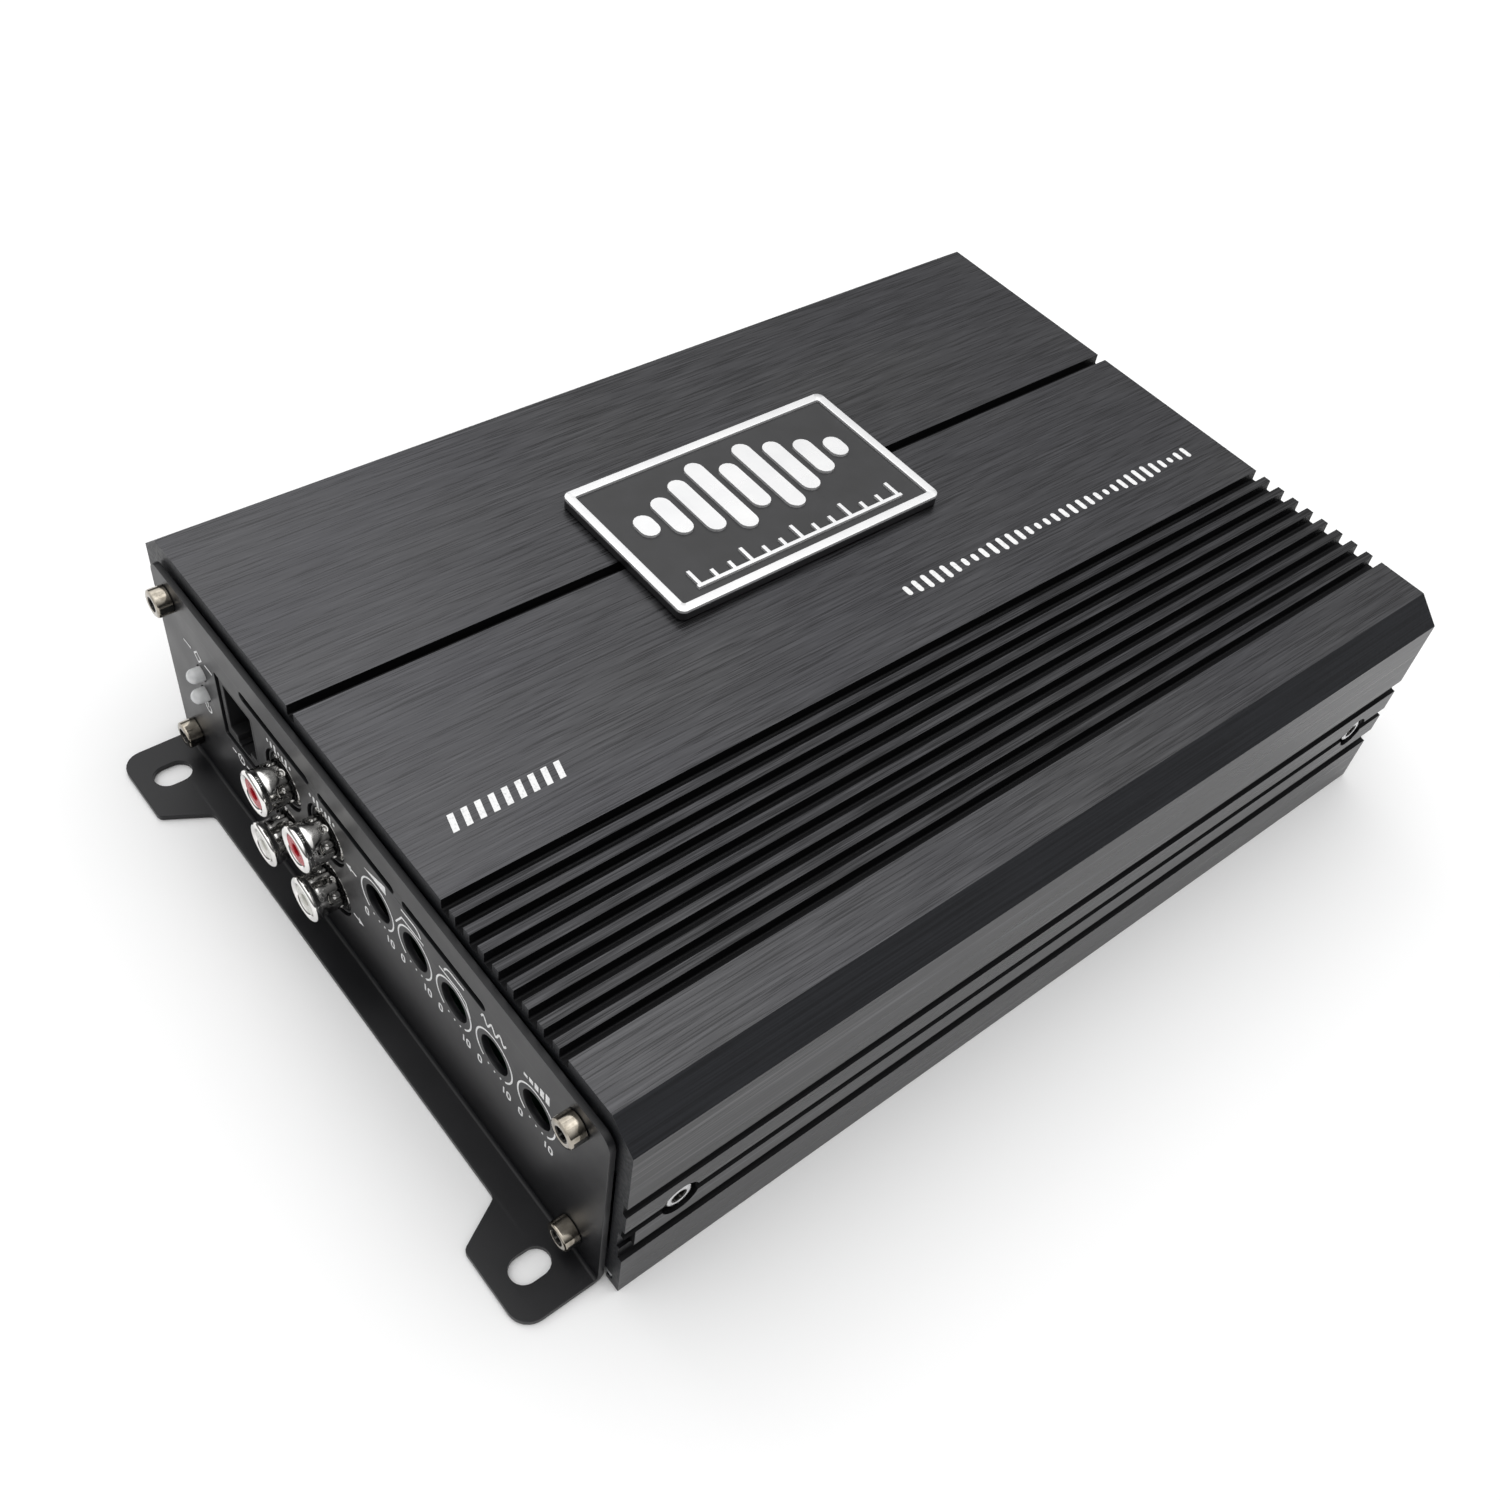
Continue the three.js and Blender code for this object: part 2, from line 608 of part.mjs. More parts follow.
/** Nickel contact sleeve with a base flange and a flared rim. */
const rcaShell = () => turned('-x', [
  [RCA_SHELL_BORE, 0], [5.2, 0], [5.2, 0.8], [RCA_SHELL_R, 0.8],
  [RCA_SHELL_R, RCA_SHELL_LENGTH - 1.2], [RCA_RIM_R, RCA_SHELL_LENGTH - 0.6],
  [RCA_RIM_R, RCA_SHELL_LENGTH], [RCA_SHELL_BORE, RCA_SHELL_LENGTH], [RCA_SHELL_BORE, 0],
], 18);

/** Coloured insulator with the centre contact's hole. */
const rcaInsulator = () => turned('-x', [
  [0, 0], [RCA_SHELL_BORE - GAP, 0], [RCA_SHELL_BORE - GAP, RCA_SHELL_LENGTH - 0.8],
  [RCA_PIN_HOLE_R, RCA_SHELL_LENGTH - 0.8], [RCA_PIN_HOLE_R, 1.2], [0, 1.2],
], 14);

RCA_Y.forEach((y, column) => {
  RCA_Z.forEach((z, row) => {
    const label = `${row === 0 ? 'input' : 'output'}_jack_${column + 1}`;
    const plastic = row === 0 ? redPlastic : whitePlastic;
    add(`${label}_shell`, rcaShell(), nickel, RCA_SHELL_BASE, y, z);
    add(`${label}_insulator`, rcaInsulator(), plastic, RCA_SHELL_BASE, y, z);
  });
});

// ---------------------------------------------------------------- lamps and remote port

/** 3 mm lamp: flange, barrel and dome. */
function lamp() {
  const barrel = 4.4;
  const profile = [[0, 0], [1.9, 0], [1.9, 0.9], [LED_R, 0.9], [LED_R, barrel]];
  const steps = 3;
  for (let i = 1; i <= steps; i += 1) {
    const angle = (i / steps) * (Math.PI / 2);
    profile.push([LED_R * Math.cos(angle), barrel + LED_R * Math.sin(angle)]);
  }
  profile[profile.length - 1][0] = 0;
  return turned('-x', profile, 12);
}
add('protect_lamp', lamp(), clearPlastic, LED_BACK, LED_Y, LED_Z[0]);
add('power_lamp', lamp(), clearPlastic, LED_BACK, LED_Y, LED_Z[1]);
add('lamp_holder',
  box(LED_BACK + GAP, -93.5, LED_Y - 2.4, LED_Y + 2.4, ON_BOARD, LED_Z[0] + 3),
  blackPlastic);

/** Socket of the wired level control: a shrouded port with a latch notch. */
function remotePort() {
  const clear = 0.5;
  const [y0, y1] = [PORT_Y[0] + clear, PORT_Y[1] - clear];
  const [z0, z1] = [PORT_Z[0] + clear, PORT_Z[1] - clear];
  const wall = 1.5;
  const front = -PANEL_FRONT + 0.4;
  const mid = (y0 + y1) / 2;
  const shroud = boxSolid(front, -87, y0, y1, z0, z1);
  const stand = boxSolid(-99.9, -87, y0, y1, ON_BOARD, z0 + 1);
  const cavity = boxSolid(front - 1, -91, y0 + wall, y1 - wall, z0 + 2.6, z1 - wall);
  const notch = boxSolid(front - 1, -94, mid - 2.4, mid + 2.4, z0 + 1, z0 + 3);
  return geometryOf(cut(join(shroud, stand), cavity, notch));
}
add('remote_port', remotePort(), blackPlastic);

// ---------------------------------------------------------------- power end

/** Moulded block with the wire entries, their clamp-screw bores and the fuse sockets. */
function connectorBlock() {
  const [near, far] = BLOCK_Y;
  const terminalsEnd = 22;
  let body = join(
    boxSolid(BLOCK_BACK, 99.9, near, far, ON_BOARD, TERMINAL_TOP),
    boxSolid(99, TERMINAL_FRONT, near, terminalsEnd, BLOCK_LOW, TERMINAL_TOP),
    boxSolid(99, FUSE_FRONT, terminalsEnd - 1, far - 1, BLOCK_LOW, TERMINAL_TOP),
    boxSolid(BLOCK_BACK, FUSE_FRONT, BLOCK_STEP_Y, far, BLOCK_LOW, FUSE_TOP),
  );
  TERMINAL_Y.forEach((y, i) => {
    const r = TERMINAL_R[i];
    body = cut(body,
      solid(rod('x', [y, TERMINAL_Z], r, 94, TERMINAL_FRONT + 1, 16)),
      solid(rod('z', [TERMINAL_SCREW_X, y], TERMINAL_SCREW_R + GAP, TERMINAL_Z, 30, 12)));
  });
  for (const z of FUSE_Z) {
    for (const dy of [-FUSE_BLADE_Y, FUSE_BLADE_Y]) {
      body = cut(body, boxSolid(93, FUSE_FRONT + 1, FUSE_Y + dy - 2.9, FUSE_Y + dy + 2.9,
        z - 0.7, z + 0.7));
    }
  }
  return geometryOf(body);
}

/** Blade fuse pushed in along -X: plastic body with a grip waist and two blades. */
function bladeFuse() {
  const front = FUSE_FRONT + GAP;
  const pieces = [
    boxSolid(front, front + FUSE_BODY - 3, -8.2, 8.2, -2.1, 2.1),
    boxSolid(front + FUSE_BODY - 3.4, front + FUSE_BODY, -9.5, 9.5, -2.6, 2.6),
  ];
  for (const dy of [-FUSE_BLADE_Y, FUSE_BLADE_Y]) {
    pieces.push(boxSolid(front - 7.4, front + 1, dy - 2.6, dy + 2.6, -0.35, 0.35));
  }
  return geometryOf(join(...pieces));
}

/** Grub screw with a hex socket in its top; its top is at 0. */
function terminalScrew() {
  const length = 5.2;
  const body = solid(turned('+z', [
    [0, -length], [TERMINAL_SCREW_R - 0.6, -length], [TERMINAL_SCREW_R, -length + 0.6],
    [TERMINAL_SCREW_R, -0.2], [TERMINAL_SCREW_R - 0.2, 0], [0, 0],
  ], 12));
  const socket = turned('+z', [[0, -2.6], [1.45, -2.2], [1.45, 0.5], [0, 0.5]], 6);
  return geometryOf(cut(body, solid(socket)));
}

add('connector_block', connectorBlock(), blackPlastic);
const terminalNames = ['supply', 'remote', 'ground', 'speaker_plus', 'speaker_minus'];
TERMINAL_Y.forEach((y, i) => {
  add(`${terminalNames[i]}_terminal_screw`, terminalScrew(), nickel,
    TERMINAL_SCREW_X, y, TERMINAL_TOP - 0.2);
});
add('fuse_1', bladeFuse(), fuseYellow, 0, FUSE_Y, FUSE_Z[0]);
add('fuse_2', bladeFuse(), fuseYellow, 0, FUSE_Y, FUSE_Z[1]);

// ---------------------------------------------------------------- parts on the board

/** Wound ring core lying flat; its foot is at 0. */
function toroid(outer, inner, height) {
  const bulge = 2;
  return turned('+z', [
    [inner, bulge], [inner + bulge, 0], [outer - bulge, 0], [outer, bulge],
    [outer, height - bulge], [outer - bulge, height], [inner + bulge, height],
    [inner, height - bulge], [inner, bulge],
  ], 18);
}
add('power_transformer', toroid(19, 7, 17), copper, 42, 18, ON_BOARD);
add('output_inductor', toroid(14, 5, 14), ferrite, 38, -30, ON_BOARD);

/** Standing electrolytic capacitor; its foot is at 0. */
const capacitor = (r, height) => turned('+z', [
  [0, 0], [r, 0], [r, height - 0.6], [r - 0.6, height], [0, height],
], 16);
add('supply_capacitor_1', capacitor(9, 30), sleeve, -14, 28, ON_BOARD);
add('supply_capacitor_2', capacitor(9, 30), sleeve, -14, 6, ON_BOARD);

// ---------------------------------------------------------------- power transistors

/** Tab transistor against the wall on the given side, its legs bent down to the board. */
function transistor(side) {
  const back = CAVITY_Y - GAP;
  const face = back - TRANSISTOR_T;
  const wallBox = (x0, x1, y0, y1, z0, z1) => (side < 0
    ? boxSolid(x0, x1, -y1, -y0, z0, z1)
    : boxSolid(x0, x1, y0, y1, z0, z1));
  const pieces = [
    wallBox(-5.1, 5.1, face, back, TRANSISTOR_Z - 5, TRANSISTOR_Z + 5),
    wallBox(-5.1, 5.1, back - 1.3, back, TRANSISTOR_Z + 4.9, TRANSISTOR_Z + 11),
  ];
  for (const x of [-2.54, 0, 2.54]) {
    pieces.push(
      wallBox(x - 0.4, x + 0.4, 54.4, face + 1, 15.9, 16.7),
      wallBox(x - 0.4, x + 0.4, 54.4, 55.2, ON_BOARD, 16.7),
    );
  }
  return geometryOf(join(...pieces));
}

for (const [label, side] of [['front', -1], ['rear', 1]]) {
  TRANSISTOR_X.forEach((x, i) => {
    add(`${label}_transistor_${i + 1}`, transistor(side), epoxy, x, 0, 0);
  });
  const inner = CAVITY_Y - 2 * GAP - TRANSISTOR_T;
  const outer = inner - CLAMP_T;
  const [y0, y1] = side < 0 ? [-inner, -outer] : [outer, inner];
  const bar = boxSolid(-94, 94, y0, y1, SIDE_SCREW_Z - 3.4, SIDE_SCREW_Z + 3.4);
  const bores = [-SIDE_SCREW_X, SIDE_SCREW_X].map(
    (x) => solid(rod('y', [SIDE_SCREW_Z, x], SCREW_BORE_R, y0 - 1, y1 + 1, 12)));
  add(`${label}_clamp_bar`, geometryOf(cut(bar, ...bores)), bareAluminium);
}

export default amplifier;
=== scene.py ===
"""Looks of a compact car-audio amplifier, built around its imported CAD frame.

Every length in the geometry code is in millimetres and is turned into metres when a
mesh is made. Positions come from the boxes of the CAD nodes.
"""

import math

import bmesh
import bpy
from mathutils import Matrix, Vector


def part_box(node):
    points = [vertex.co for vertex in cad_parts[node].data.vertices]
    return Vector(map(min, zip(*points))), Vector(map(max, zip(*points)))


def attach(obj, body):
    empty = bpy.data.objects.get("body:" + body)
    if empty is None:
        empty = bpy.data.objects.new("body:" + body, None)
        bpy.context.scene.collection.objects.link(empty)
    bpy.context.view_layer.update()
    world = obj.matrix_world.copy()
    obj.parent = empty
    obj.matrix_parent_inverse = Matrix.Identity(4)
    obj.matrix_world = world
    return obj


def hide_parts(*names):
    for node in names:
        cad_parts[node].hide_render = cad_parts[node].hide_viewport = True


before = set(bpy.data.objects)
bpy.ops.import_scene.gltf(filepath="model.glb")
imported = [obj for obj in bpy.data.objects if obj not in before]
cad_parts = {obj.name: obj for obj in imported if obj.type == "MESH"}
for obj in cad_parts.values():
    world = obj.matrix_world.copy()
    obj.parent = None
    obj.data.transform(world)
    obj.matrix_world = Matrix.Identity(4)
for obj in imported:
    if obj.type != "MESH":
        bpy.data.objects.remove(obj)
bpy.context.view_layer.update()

MM = 0.001
TAU = 2 * math.pi
BODY = "case"

# --- camera

CAMERA_AT = (-167.59, -149.16, 248.37)
CAMERA_RIGHT = Vector((0.760516, -0.635090, 0.135189))
CAMERA_FORWARD = Vector((0.492644, 0.428736, -0.757290))
LENS = 37.543
SENSOR_WIDTH = 36.0
SHIFT_X = -0.03244
SHIFT_Y = 0.02256


def new_object(name, data):
    """New object in the scene around a mesh, a curve, a light or a camera."""
    thing = bpy.data.objects.new(name, data)
    bpy.context.scene.collection.objects.link(thing)
    return thing


def make_camera():
    data = bpy.data.cameras.new("camera")
    data.lens = LENS
    data.sensor_width = SENSOR_WIDTH
    data.shift_x = SHIFT_X
    data.shift_y = SHIFT_Y
    data.clip_start = 0.01
    data.clip_end = 20.0
    camera = new_object("camera", data)
    forward = CAMERA_FORWARD.normalized()
    right = (CAMERA_RIGHT - CAMERA_RIGHT.dot(forward) * forward).normalized()
    turn = Matrix((right, right.cross(forward), -forward)).transposed().to_4x4()
    camera.matrix_world = Matrix.Translation(Vector(CAMERA_AT) * MM) @ turn
    bpy.context.scene.camera = camera


make_camera()

# --- materials


def wire(tree, node, inputs):
    """Set inputs of a node, each from a constant or from another node's socket."""
    for key, value in inputs.items():
        socket = node.inputs[key]
        if isinstance(value, bpy.types.NodeSocket):
            tree.links.new(value, socket)
        elif socket.type == "RGBA" and len(value) == 3:
            socket.default_value = (*value, 1)
        else:
            socket.default_value = value
    return node


def add_node(tree, kind, inputs):
    return wire(tree, tree.nodes.new("ShaderNode" + kind), inputs)


def add_math(tree, operation, first, second):
    node = tree.nodes.new("ShaderNodeMath")
    node.operation = operation
    return wire(tree, node, {0: first, 1: second}).outputs[0]


class Shade:
    """One Principled material, its textures in millimetres of object space."""

    def __init__(self, name, **constants):
        self.material = bpy.data.materials.new(name)
        self.material.use_nodes = True
        self.tree = self.material.node_tree
        self.tree.nodes.clear()
        self.shader = self.add("BsdfPrincipled", {
            socket.replace("_", " "): value for socket, value in constants.items()})
        self.add("OutputMaterial", {0: self.shader.outputs[0]})
        self.place = self.add("TexCoord", {}).outputs["Object"]

    def add(self, kind, inputs):
        return add_node(self.tree, kind, inputs)

    def stretched(self, stretch=(1, 1, 1)):
        scale = [share / MM for share in stretch]
        return self.add("Mapping", {"Vector": self.place, "Scale": scale}).outputs[0]

    def noise(self, scale, detail=2.0, stretch=(1, 1, 1), roughness=0.5):
        """Noise with a scale in features per millimetre, stretched by shares per axis."""
        return self.add("TexNoise", {"Vector": self.stretched(stretch), "Scale": scale,
                                     "Detail": detail, "Roughness": roughness}).outputs[0]

    def voronoi(self, scale, feature="F1"):
        cells = self.tree.nodes.new("ShaderNodeTexVoronoi")
        cells.feature = feature
        inputs = {"Vector": self.stretched(), "Scale": scale}
        return wire(self.tree, cells, inputs).outputs["Distance"]

    def span(self, source, low, high, from_low=0.3, from_high=0.7):
        """Values of source between from_low and from_high, spread over low to high."""
        return self.add("MapRange", {"Value": source, "From Min": from_low,
                                     "From Max": from_high, "To Min": low,
                                     "To Max": high}).outputs[0]

    def ramp(self, source, *stops):
        """Colours by value: each stop is (position, (r, g, b))."""
        node = self.add("ValToRGB", {"Fac": source})
        elements = node.color_ramp.elements
        while len(elements) < len(stops):
            elements.new(0.5)
        for element, (position, colour) in zip(elements, stops):
            element.position = position
            element.color = (*colour, 1)
        return node.outputs["Color"]

    def mix(self, share, first, second, blend="MIX"):
        """Colour mix. share, first and second are sockets or constants."""
        node = self.tree.nodes.new("ShaderNodeMix")
        node.data_type = "RGBA"
        node.blend_type = blend
        return wire(self.tree, node, {0: share, 6: first, 7: second}).outputs[2]

    def finish(self, colour, roughness, height=None, strength=0.1, distance=0.02):
        """The material, with bumps by height; distance is in millimetres."""
        inputs = {"Base Color": colour, "Roughness": roughness}
        if height:
            bump = {"Strength": strength, "Distance": distance * MM, "Height": height}
            inputs["Normal"] = self.add("Bump", bump).outputs[0]
        wire(self.tree, self.shader, inputs)
        return self.material


def surface(name, tone, colours, rough, roughness, grain=None, strength=0.1,
            distance=0.02, stops=(0.3, 0.7), **constants):
    """Material from noises given as (scale, detail, stretch). tone runs from the dark to
    the light colour between the stops, rough drives roughness, grain makes bumps."""
    s = Shade(name, **constants)
    colour = s.ramp(s.noise(*tone), *zip(stops, colours))
    height = s.noise(*grain) if grain else None
    return s.finish(colour, s.span(s.noise(*rough), *roughness), height, strength, distance)


def brushed_anodised(name, coarse, fine, greys):
    """Black anodising over brush lines that run along X; greys go from dark to bright."""
    s = Shade(name, Metallic=0.92, Specular_IOR_Level=0.4)
    coarse_lines = add_math(s.tree, "MULTIPLY", s.noise(1.0, 3.0, coarse, 0.6), 0.45)
    fine_lines = add_math(s.tree, "MULTIPLY", s.noise(1.0, 2.0, fine), 0.55)
    lines = add_math(s.tree, "ADD", coarse_lines, fine_lines)
    colour = s.ramp(lines, *[(position, (grey, grey, grey * 1.04))
                             for position, grey in zip((0.38, 0.46, 0.54, 0.64), greys)])
    clouds = s.noise(0.03, 2.0, (0.6, 1, 1))
    tint = s.ramp(clouds, (0.35, (0.93, 0.93, 0.96)), (0.65, (1, 1, 1)))
    return s.finish(s.mix(1.0, colour, tint, "MULTIPLY"),
                    s.span(lines, 0.26, 0.40, 0.4, 0.6), lines, 0.22)


def unbrushed_anodised(name, dark, light, shine):
    """As extruded: darker and smoother than the brushed faces."""
    sawn = (1.5, 3.0)
    return surface(name, (1.0, 2.0, (0.04, 3.0, 3.0)), (dark, light), sawn, (0.38, 0.55),
                   sawn, 0.12, stops=(0.35, 0.65), Metallic=0.3, Specular_IOR_Level=shine)


def plated(name, dark, light, *roughness):
    stains = (0.8, 3.0)
    return surface(name, stains, (dark, light), stains, roughness, (2.0, 2.0, (1, 1, 6)),
                   0.08, 0.01, stops=(0.35, 0.6), Metallic=1.0)


def moulded(name, dark, light, low=0.35, high=0.5, grain=4.0, bump=0.12, **constants):
    return surface(name, (0.2,), (dark, light), (grain,), (low, high), (grain,), bump,
                   **constants)


def jack_nickel_painted_highlight():
    """Nickel of the jack sleeves, with painted light: a painted highlight makes it bright on
    the rolled rim, and the darker sleeve tone is painted dark reflection.
    """
    s = Shade("jack_nickel_painted_highlight", Metallic=1.0)
    stains = s.noise(0.5)
    # Painted light: sleeve is a dark tone standing in for dark reflections, rim a bright
    # tone standing in for the highlight near the rim; the stains noise varies both at
    # random.
    sleeve = s.ramp(stains, (0.35, (0.36, 0.355, 0.34)), (0.65, (0.58, 0.57, 0.55)))
    rim = s.ramp(stains, (0.35, (0.80, 0.79, 0.77)), (0.65, (0.88, 0.87, 0.85)))
    x = s.add("SeparateXYZ", {0: s.place}).outputs["X"]
    return s.finish(s.mix(s.span(x, 1, 0, *PAINTED_RIM_HIGHLIGHT_FADE), sleeve, rim),
                    s.span(stains, 0.07, 0.14))


def zinc_sheet():
    s = Shade("zinc_plated_sheet", Metallic=0.95)
    rolled = s.noise(1.0, 3.0, (0.05, 1.6, 1.6))
    sheet = s.ramp(rolled, (0.3, (0.42, 0.43, 0.45)), (0.7, (0.60, 0.61, 0.62)))
    spangle = s.ramp(s.voronoi(0.22), (0.1, (0.40, 0.42, 0.45)), (0.9, (0.66, 0.66, 0.66)))
    return s.finish(s.mix(0.35, sheet, spangle), s.span(rolled, 0.32, 0.5), rolled, 0.15)


def laminate():
    s = Shade("glass_epoxy_laminate", Coat_Weight=0.3, Coat_Roughness=0.15)
    weave = s.noise(1.2)
    copper = s.voronoi(0.16, "DISTANCE_TO_EDGE")
    base = s.ramp(weave, (0.3, (0.012, 0.07, 0.035)), (0.7, (0.016, 0.09, 0.045)))
    return s.finish(s.mix(s.span(copper, 1, 0, 0.04, 0.09), base, (0.03, 0.14, 0.07)),
                    s.span(weave, 0.3, 0.45), copper, 0.1)


# Painted highlight: object X range, in metres, over which the bright rim tone fades into the
# darker sleeve tone.
PAINTED_RIM_HIGHLIGHT_FADE = (-0.1062, -0.1040)
ANODISED = brushed_anodised("black_anodised_brushed", (0.05, 2.3, 2.3), (0.10, 4.6, 4.6),
                            (0.049, 0.071, 0.079, 0.101))
# Painted shade: copy of the brushed finish for the side faces; its coarser brush lines are
# the sides' own, its darker overall greys stand in for how the sides are lit.
ANODISED_SIDE_PAINTED_SHADE = brushed_anodised("black_anodised_side_painted_shade", (0.012, 1.0, 1.0),
                                 (0.03, 2.4, 2.4), (0.005, 0.022, 0.050, 0.130))
# Painted shade: the top's brushed finish with darker greys, for the fin tops between the
# grooves.
ANODISED_FIN_PAINTED_SHADE = brushed_anodised("black_anodised_fin_painted_shade", (0.05, 2.3, 2.3), (0.10, 4.6, 4.6),
                                (0.026, 0.044, 0.052, 0.080))
UNBRUSHED = unbrushed_anodised("black_anodised_extruded", (0.0110, 0.0115, 0.0135),
                               (0.0200, 0.0210, 0.0245), 0.3)
# Painted shade: near-black copy of the extruded finish for the top and side groove faces,
# where shade falls.
GROOVE_PAINTED_SHADE = unbrushed_anodised("black_anodised_groove_painted_shade", (0.0035, 0.0036, 0.0040),
                                  (0.0070, 0.0070, 0.0080), 0.15)
PANEL = surface("satin_black_powder_coat", (0.08, 3.0),
                ((0.0060, 0.0060, 0.0072), (0.0090, 0.0090, 0.0105)), (0.08, 3.0),
                (0.33, 0.42), (3.0, 3.0), 0.16, Specular_IOR_Level=0.32)
NICKEL_SCREW = plated("nickel_plated_screw", (0.25, 0.225, 0.185), (0.40, 0.365, 0.31),
                      0.08, 0.15)
NICKEL_PAINTED_HIGHLIGHT = jack_nickel_painted_highlight()
STEEL = plated("oiled_steel", (0.50, 0.50, 0.51), (0.70, 0.70, 0.71), 0.2, 0.3)
# Painted shade: near-black steel for the inside of the hex sockets.
SOCKET_PAINTED_SHADE = plated("socket_painted_shade", (0.03, 0.03, 0.03), (0.06, 0.058, 0.055), 0.3, 0.45)
GOLD = plated("gold_plated_contact", (0.75, 0.52, 0.20), (0.90, 0.66, 0.28), 0.18, 0.3)
ALUMINIUM = plated("sawn_aluminium", (0.60, 0.61, 0.62), (0.74, 0.75, 0.76), 0.3, 0.45)
BRIGHT = surface("polished_face", (0.12,), ((0.92, 0.92, 0.93), (0.98, 0.98, 0.98)),
                 (0.12,), (0.22, 0.30), (0.12,), 0.05, 0.01, Metallic=0.6,
                 Specular_IOR_Level=0.6)
BADGE_BLACK = moulded("badge_black_enamel", (0.010, 0.010, 0.011), (0.016, 0.016, 0.018),
                      0.32, 0.45, 6.0, 0.08, Specular_IOR_Level=0.7)
BLACK_PLASTIC = moulded("black_moulded_plastic", (0.007, 0.007, 0.008),
                        (0.012, 0.012, 0.013), 0.4, 0.55, Specular_IOR_Level=0.3)
RED_PLASTIC = moulded("red_moulded_plastic", (0.36, 0.006, 0.014), (0.48, 0.012, 0.022),
                      0.25, 0.35, 3.0, 0.05)
WHITE_PLASTIC = moulded("white_moulded_plastic", (0.70, 0.69, 0.64), (0.82, 0.81, 0.77),
                        0.25, 0.35, 3.0, 0.05)
EPOXY = moulded("black_epoxy", (0.012, 0.012, 0.013), (0.02, 0.02, 0.022), 0.45, 0.6)
SLEEVE = moulded("shrink_sleeve", (0.006, 0.010, 0.03), (0.01, 0.016, 0.045), 0.2, 0.3)
FERRITE = moulded("ferrite_core", (0.05, 0.055, 0.06), (0.075, 0.08, 0.085), 0.5, 0.7)
ZINC = zinc_sheet()
CLEAR = surface("clear_epoxy", (0.9,), ((0.86, 0.87, 0.88), (0.97, 0.98, 0.98)), (0.9,),
                (0.03, 0.08), Transmission_Weight=0.32, IOR=1.5, Specular_IOR_Level=0.8)
WIRE = surface("enamelled_wire", (0.5,), ((0.36, 0.13, 0.05), (0.58, 0.24, 0.09)), (0.5,),
               (0.25, 0.4), Metallic=0.85, Coat_Weight=0.6, Coat_Roughness=0.1)
FUSE = surface("translucent_amber", (0.15, 1.0), ((0.82, 0.50, 0.02), (0.86, 0.55, 0.03)),
               (0.15, 1.0), (0.18, 0.26), Transmission_Weight=0.35, IOR=1.49)
BOARD = laminate()
INK = surface("printed_white_ink", (2.2, 3.0), ((0.62, 0.63, 0.63), (0.86, 0.86, 0.86)),
              (2.2, 3.0), (0.45, 0.65), (2.2, 3.0), 0.1, 0.01, stops=(0.25, 0.5),
              Specular_IOR_Level=0.3)

# --- shapes: (points in millimetres, faces as tuples of indices)


def joined(*shapes):
    points, faces = [], []
    for own_points, own_faces in shapes:
        start = len(points)
        points.extend(own_points)
        faces.extend(tuple(i + start for i in face) for face in own_faces)
    return points, faces


def moved(shape, by):
    points, faces = shape
    return [tuple(a + b for a, b in zip(p, by)) for p in points], faces


def arc(centre, r, start, end, steps):
    """Points on an arc, angles in degrees."""
    found = []
    for i in range(steps + 1):
        a = math.radians(start + (end - start) * i / steps)
        found.append((centre[0] + r * math.cos(a), centre[1] + r * math.sin(a)))
    return found


def ring(centre, r, count=64):
    return arc(centre, r, 0, 360, count)[:-1]


def rounded(x0, x1, y0, y1, r, steps=6):
    """Outline of a rectangle with round corners."""
    corners = (x1 - r, y0 + r), (x1 - r, y1 - r), (x0 + r, y1 - r), (x0 + r, y0 + r)
    found = []
    for i, corner in enumerate(corners):
        found += arc(corner, r, 90 * i - 90, 90 * i, steps)
    return found


def on_axis(axis, u, v, along):
    """Point from an outline's two coordinates and the place along its axis."""
    return {"x": (along, u, v), "y": (v, along, u), "z": (u, v, along)}[axis]


def prism(outline, axis, start, end):
    return loft([[on_axis(axis, u, v, place) for u, v in outline] for place in (start, end)])


def rod(axis, u, v, r, ends, count=32):
    """Round bar along an axis; u and v are its middle in the outline's coordinates."""
    return prism(ring((u, v), r, count), axis, *ends)


def block(x0, x1, y0, y1, z0, z1):
    return prism([(x0, y0), (x1, y0), (x1, y1), (x0, y1)], "z", z0, z1)


def bar(x0, x1, y, half_y, z, half_z):
    """Block from x0 to x1, even about y and z."""
    return block(x0, x1, y - half_y, y + half_y, z - half_z, z + half_z)


def loft(rings, closed=False):
    """Skin over rings of equal length, capped at both ends unless it closes on itself."""
    count = len(rings[0])
    points = [p for one in rings for p in one]
    last = (len(rings) - 1) * count
    faces = []
    for k in range(len(rings) if closed else len(rings) - 1):
        a, b = k * count, ((k + 1) % len(rings)) * count
        for i in range(count):
            j = (i + 1) % count
            faces.append((a + i, a + j, b + j, b + i))
    if not closed:
        faces += [tuple(reversed(range(count))), tuple(range(last, last + count))]
    return points, faces


TURNED = {
    "-x": lambda a, b, h: (-h, a, -b),
    "+x": lambda a, b, h: (h, a, b),
    "-y": lambda a, b, h: (-a, -h, b),
    "+y": lambda a, b, h: (a, h, b),
    "+z": lambda a, b, h: (a, b, h),
}
LEAST_R = 1e-4


def revolved(profile, direction, at, count=48, closed=False, radius=None):
    """Turned piece. profile is (radius, height) points; height runs along direction.
    radius, if given, is a rule (r, height, angle) for the radius at an angle."""
    rings = []
    for r, h in profile:
        one = []
        for i in range(count):
            angle = TAU * i / count
            here = max(radius(r, h, angle) if radius else r, LEAST_R)
            one.append(TURNED[direction](here * math.cos(angle), here * math.sin(angle), h))
        rings.append(one)
    return moved(loft(rings, closed), at)


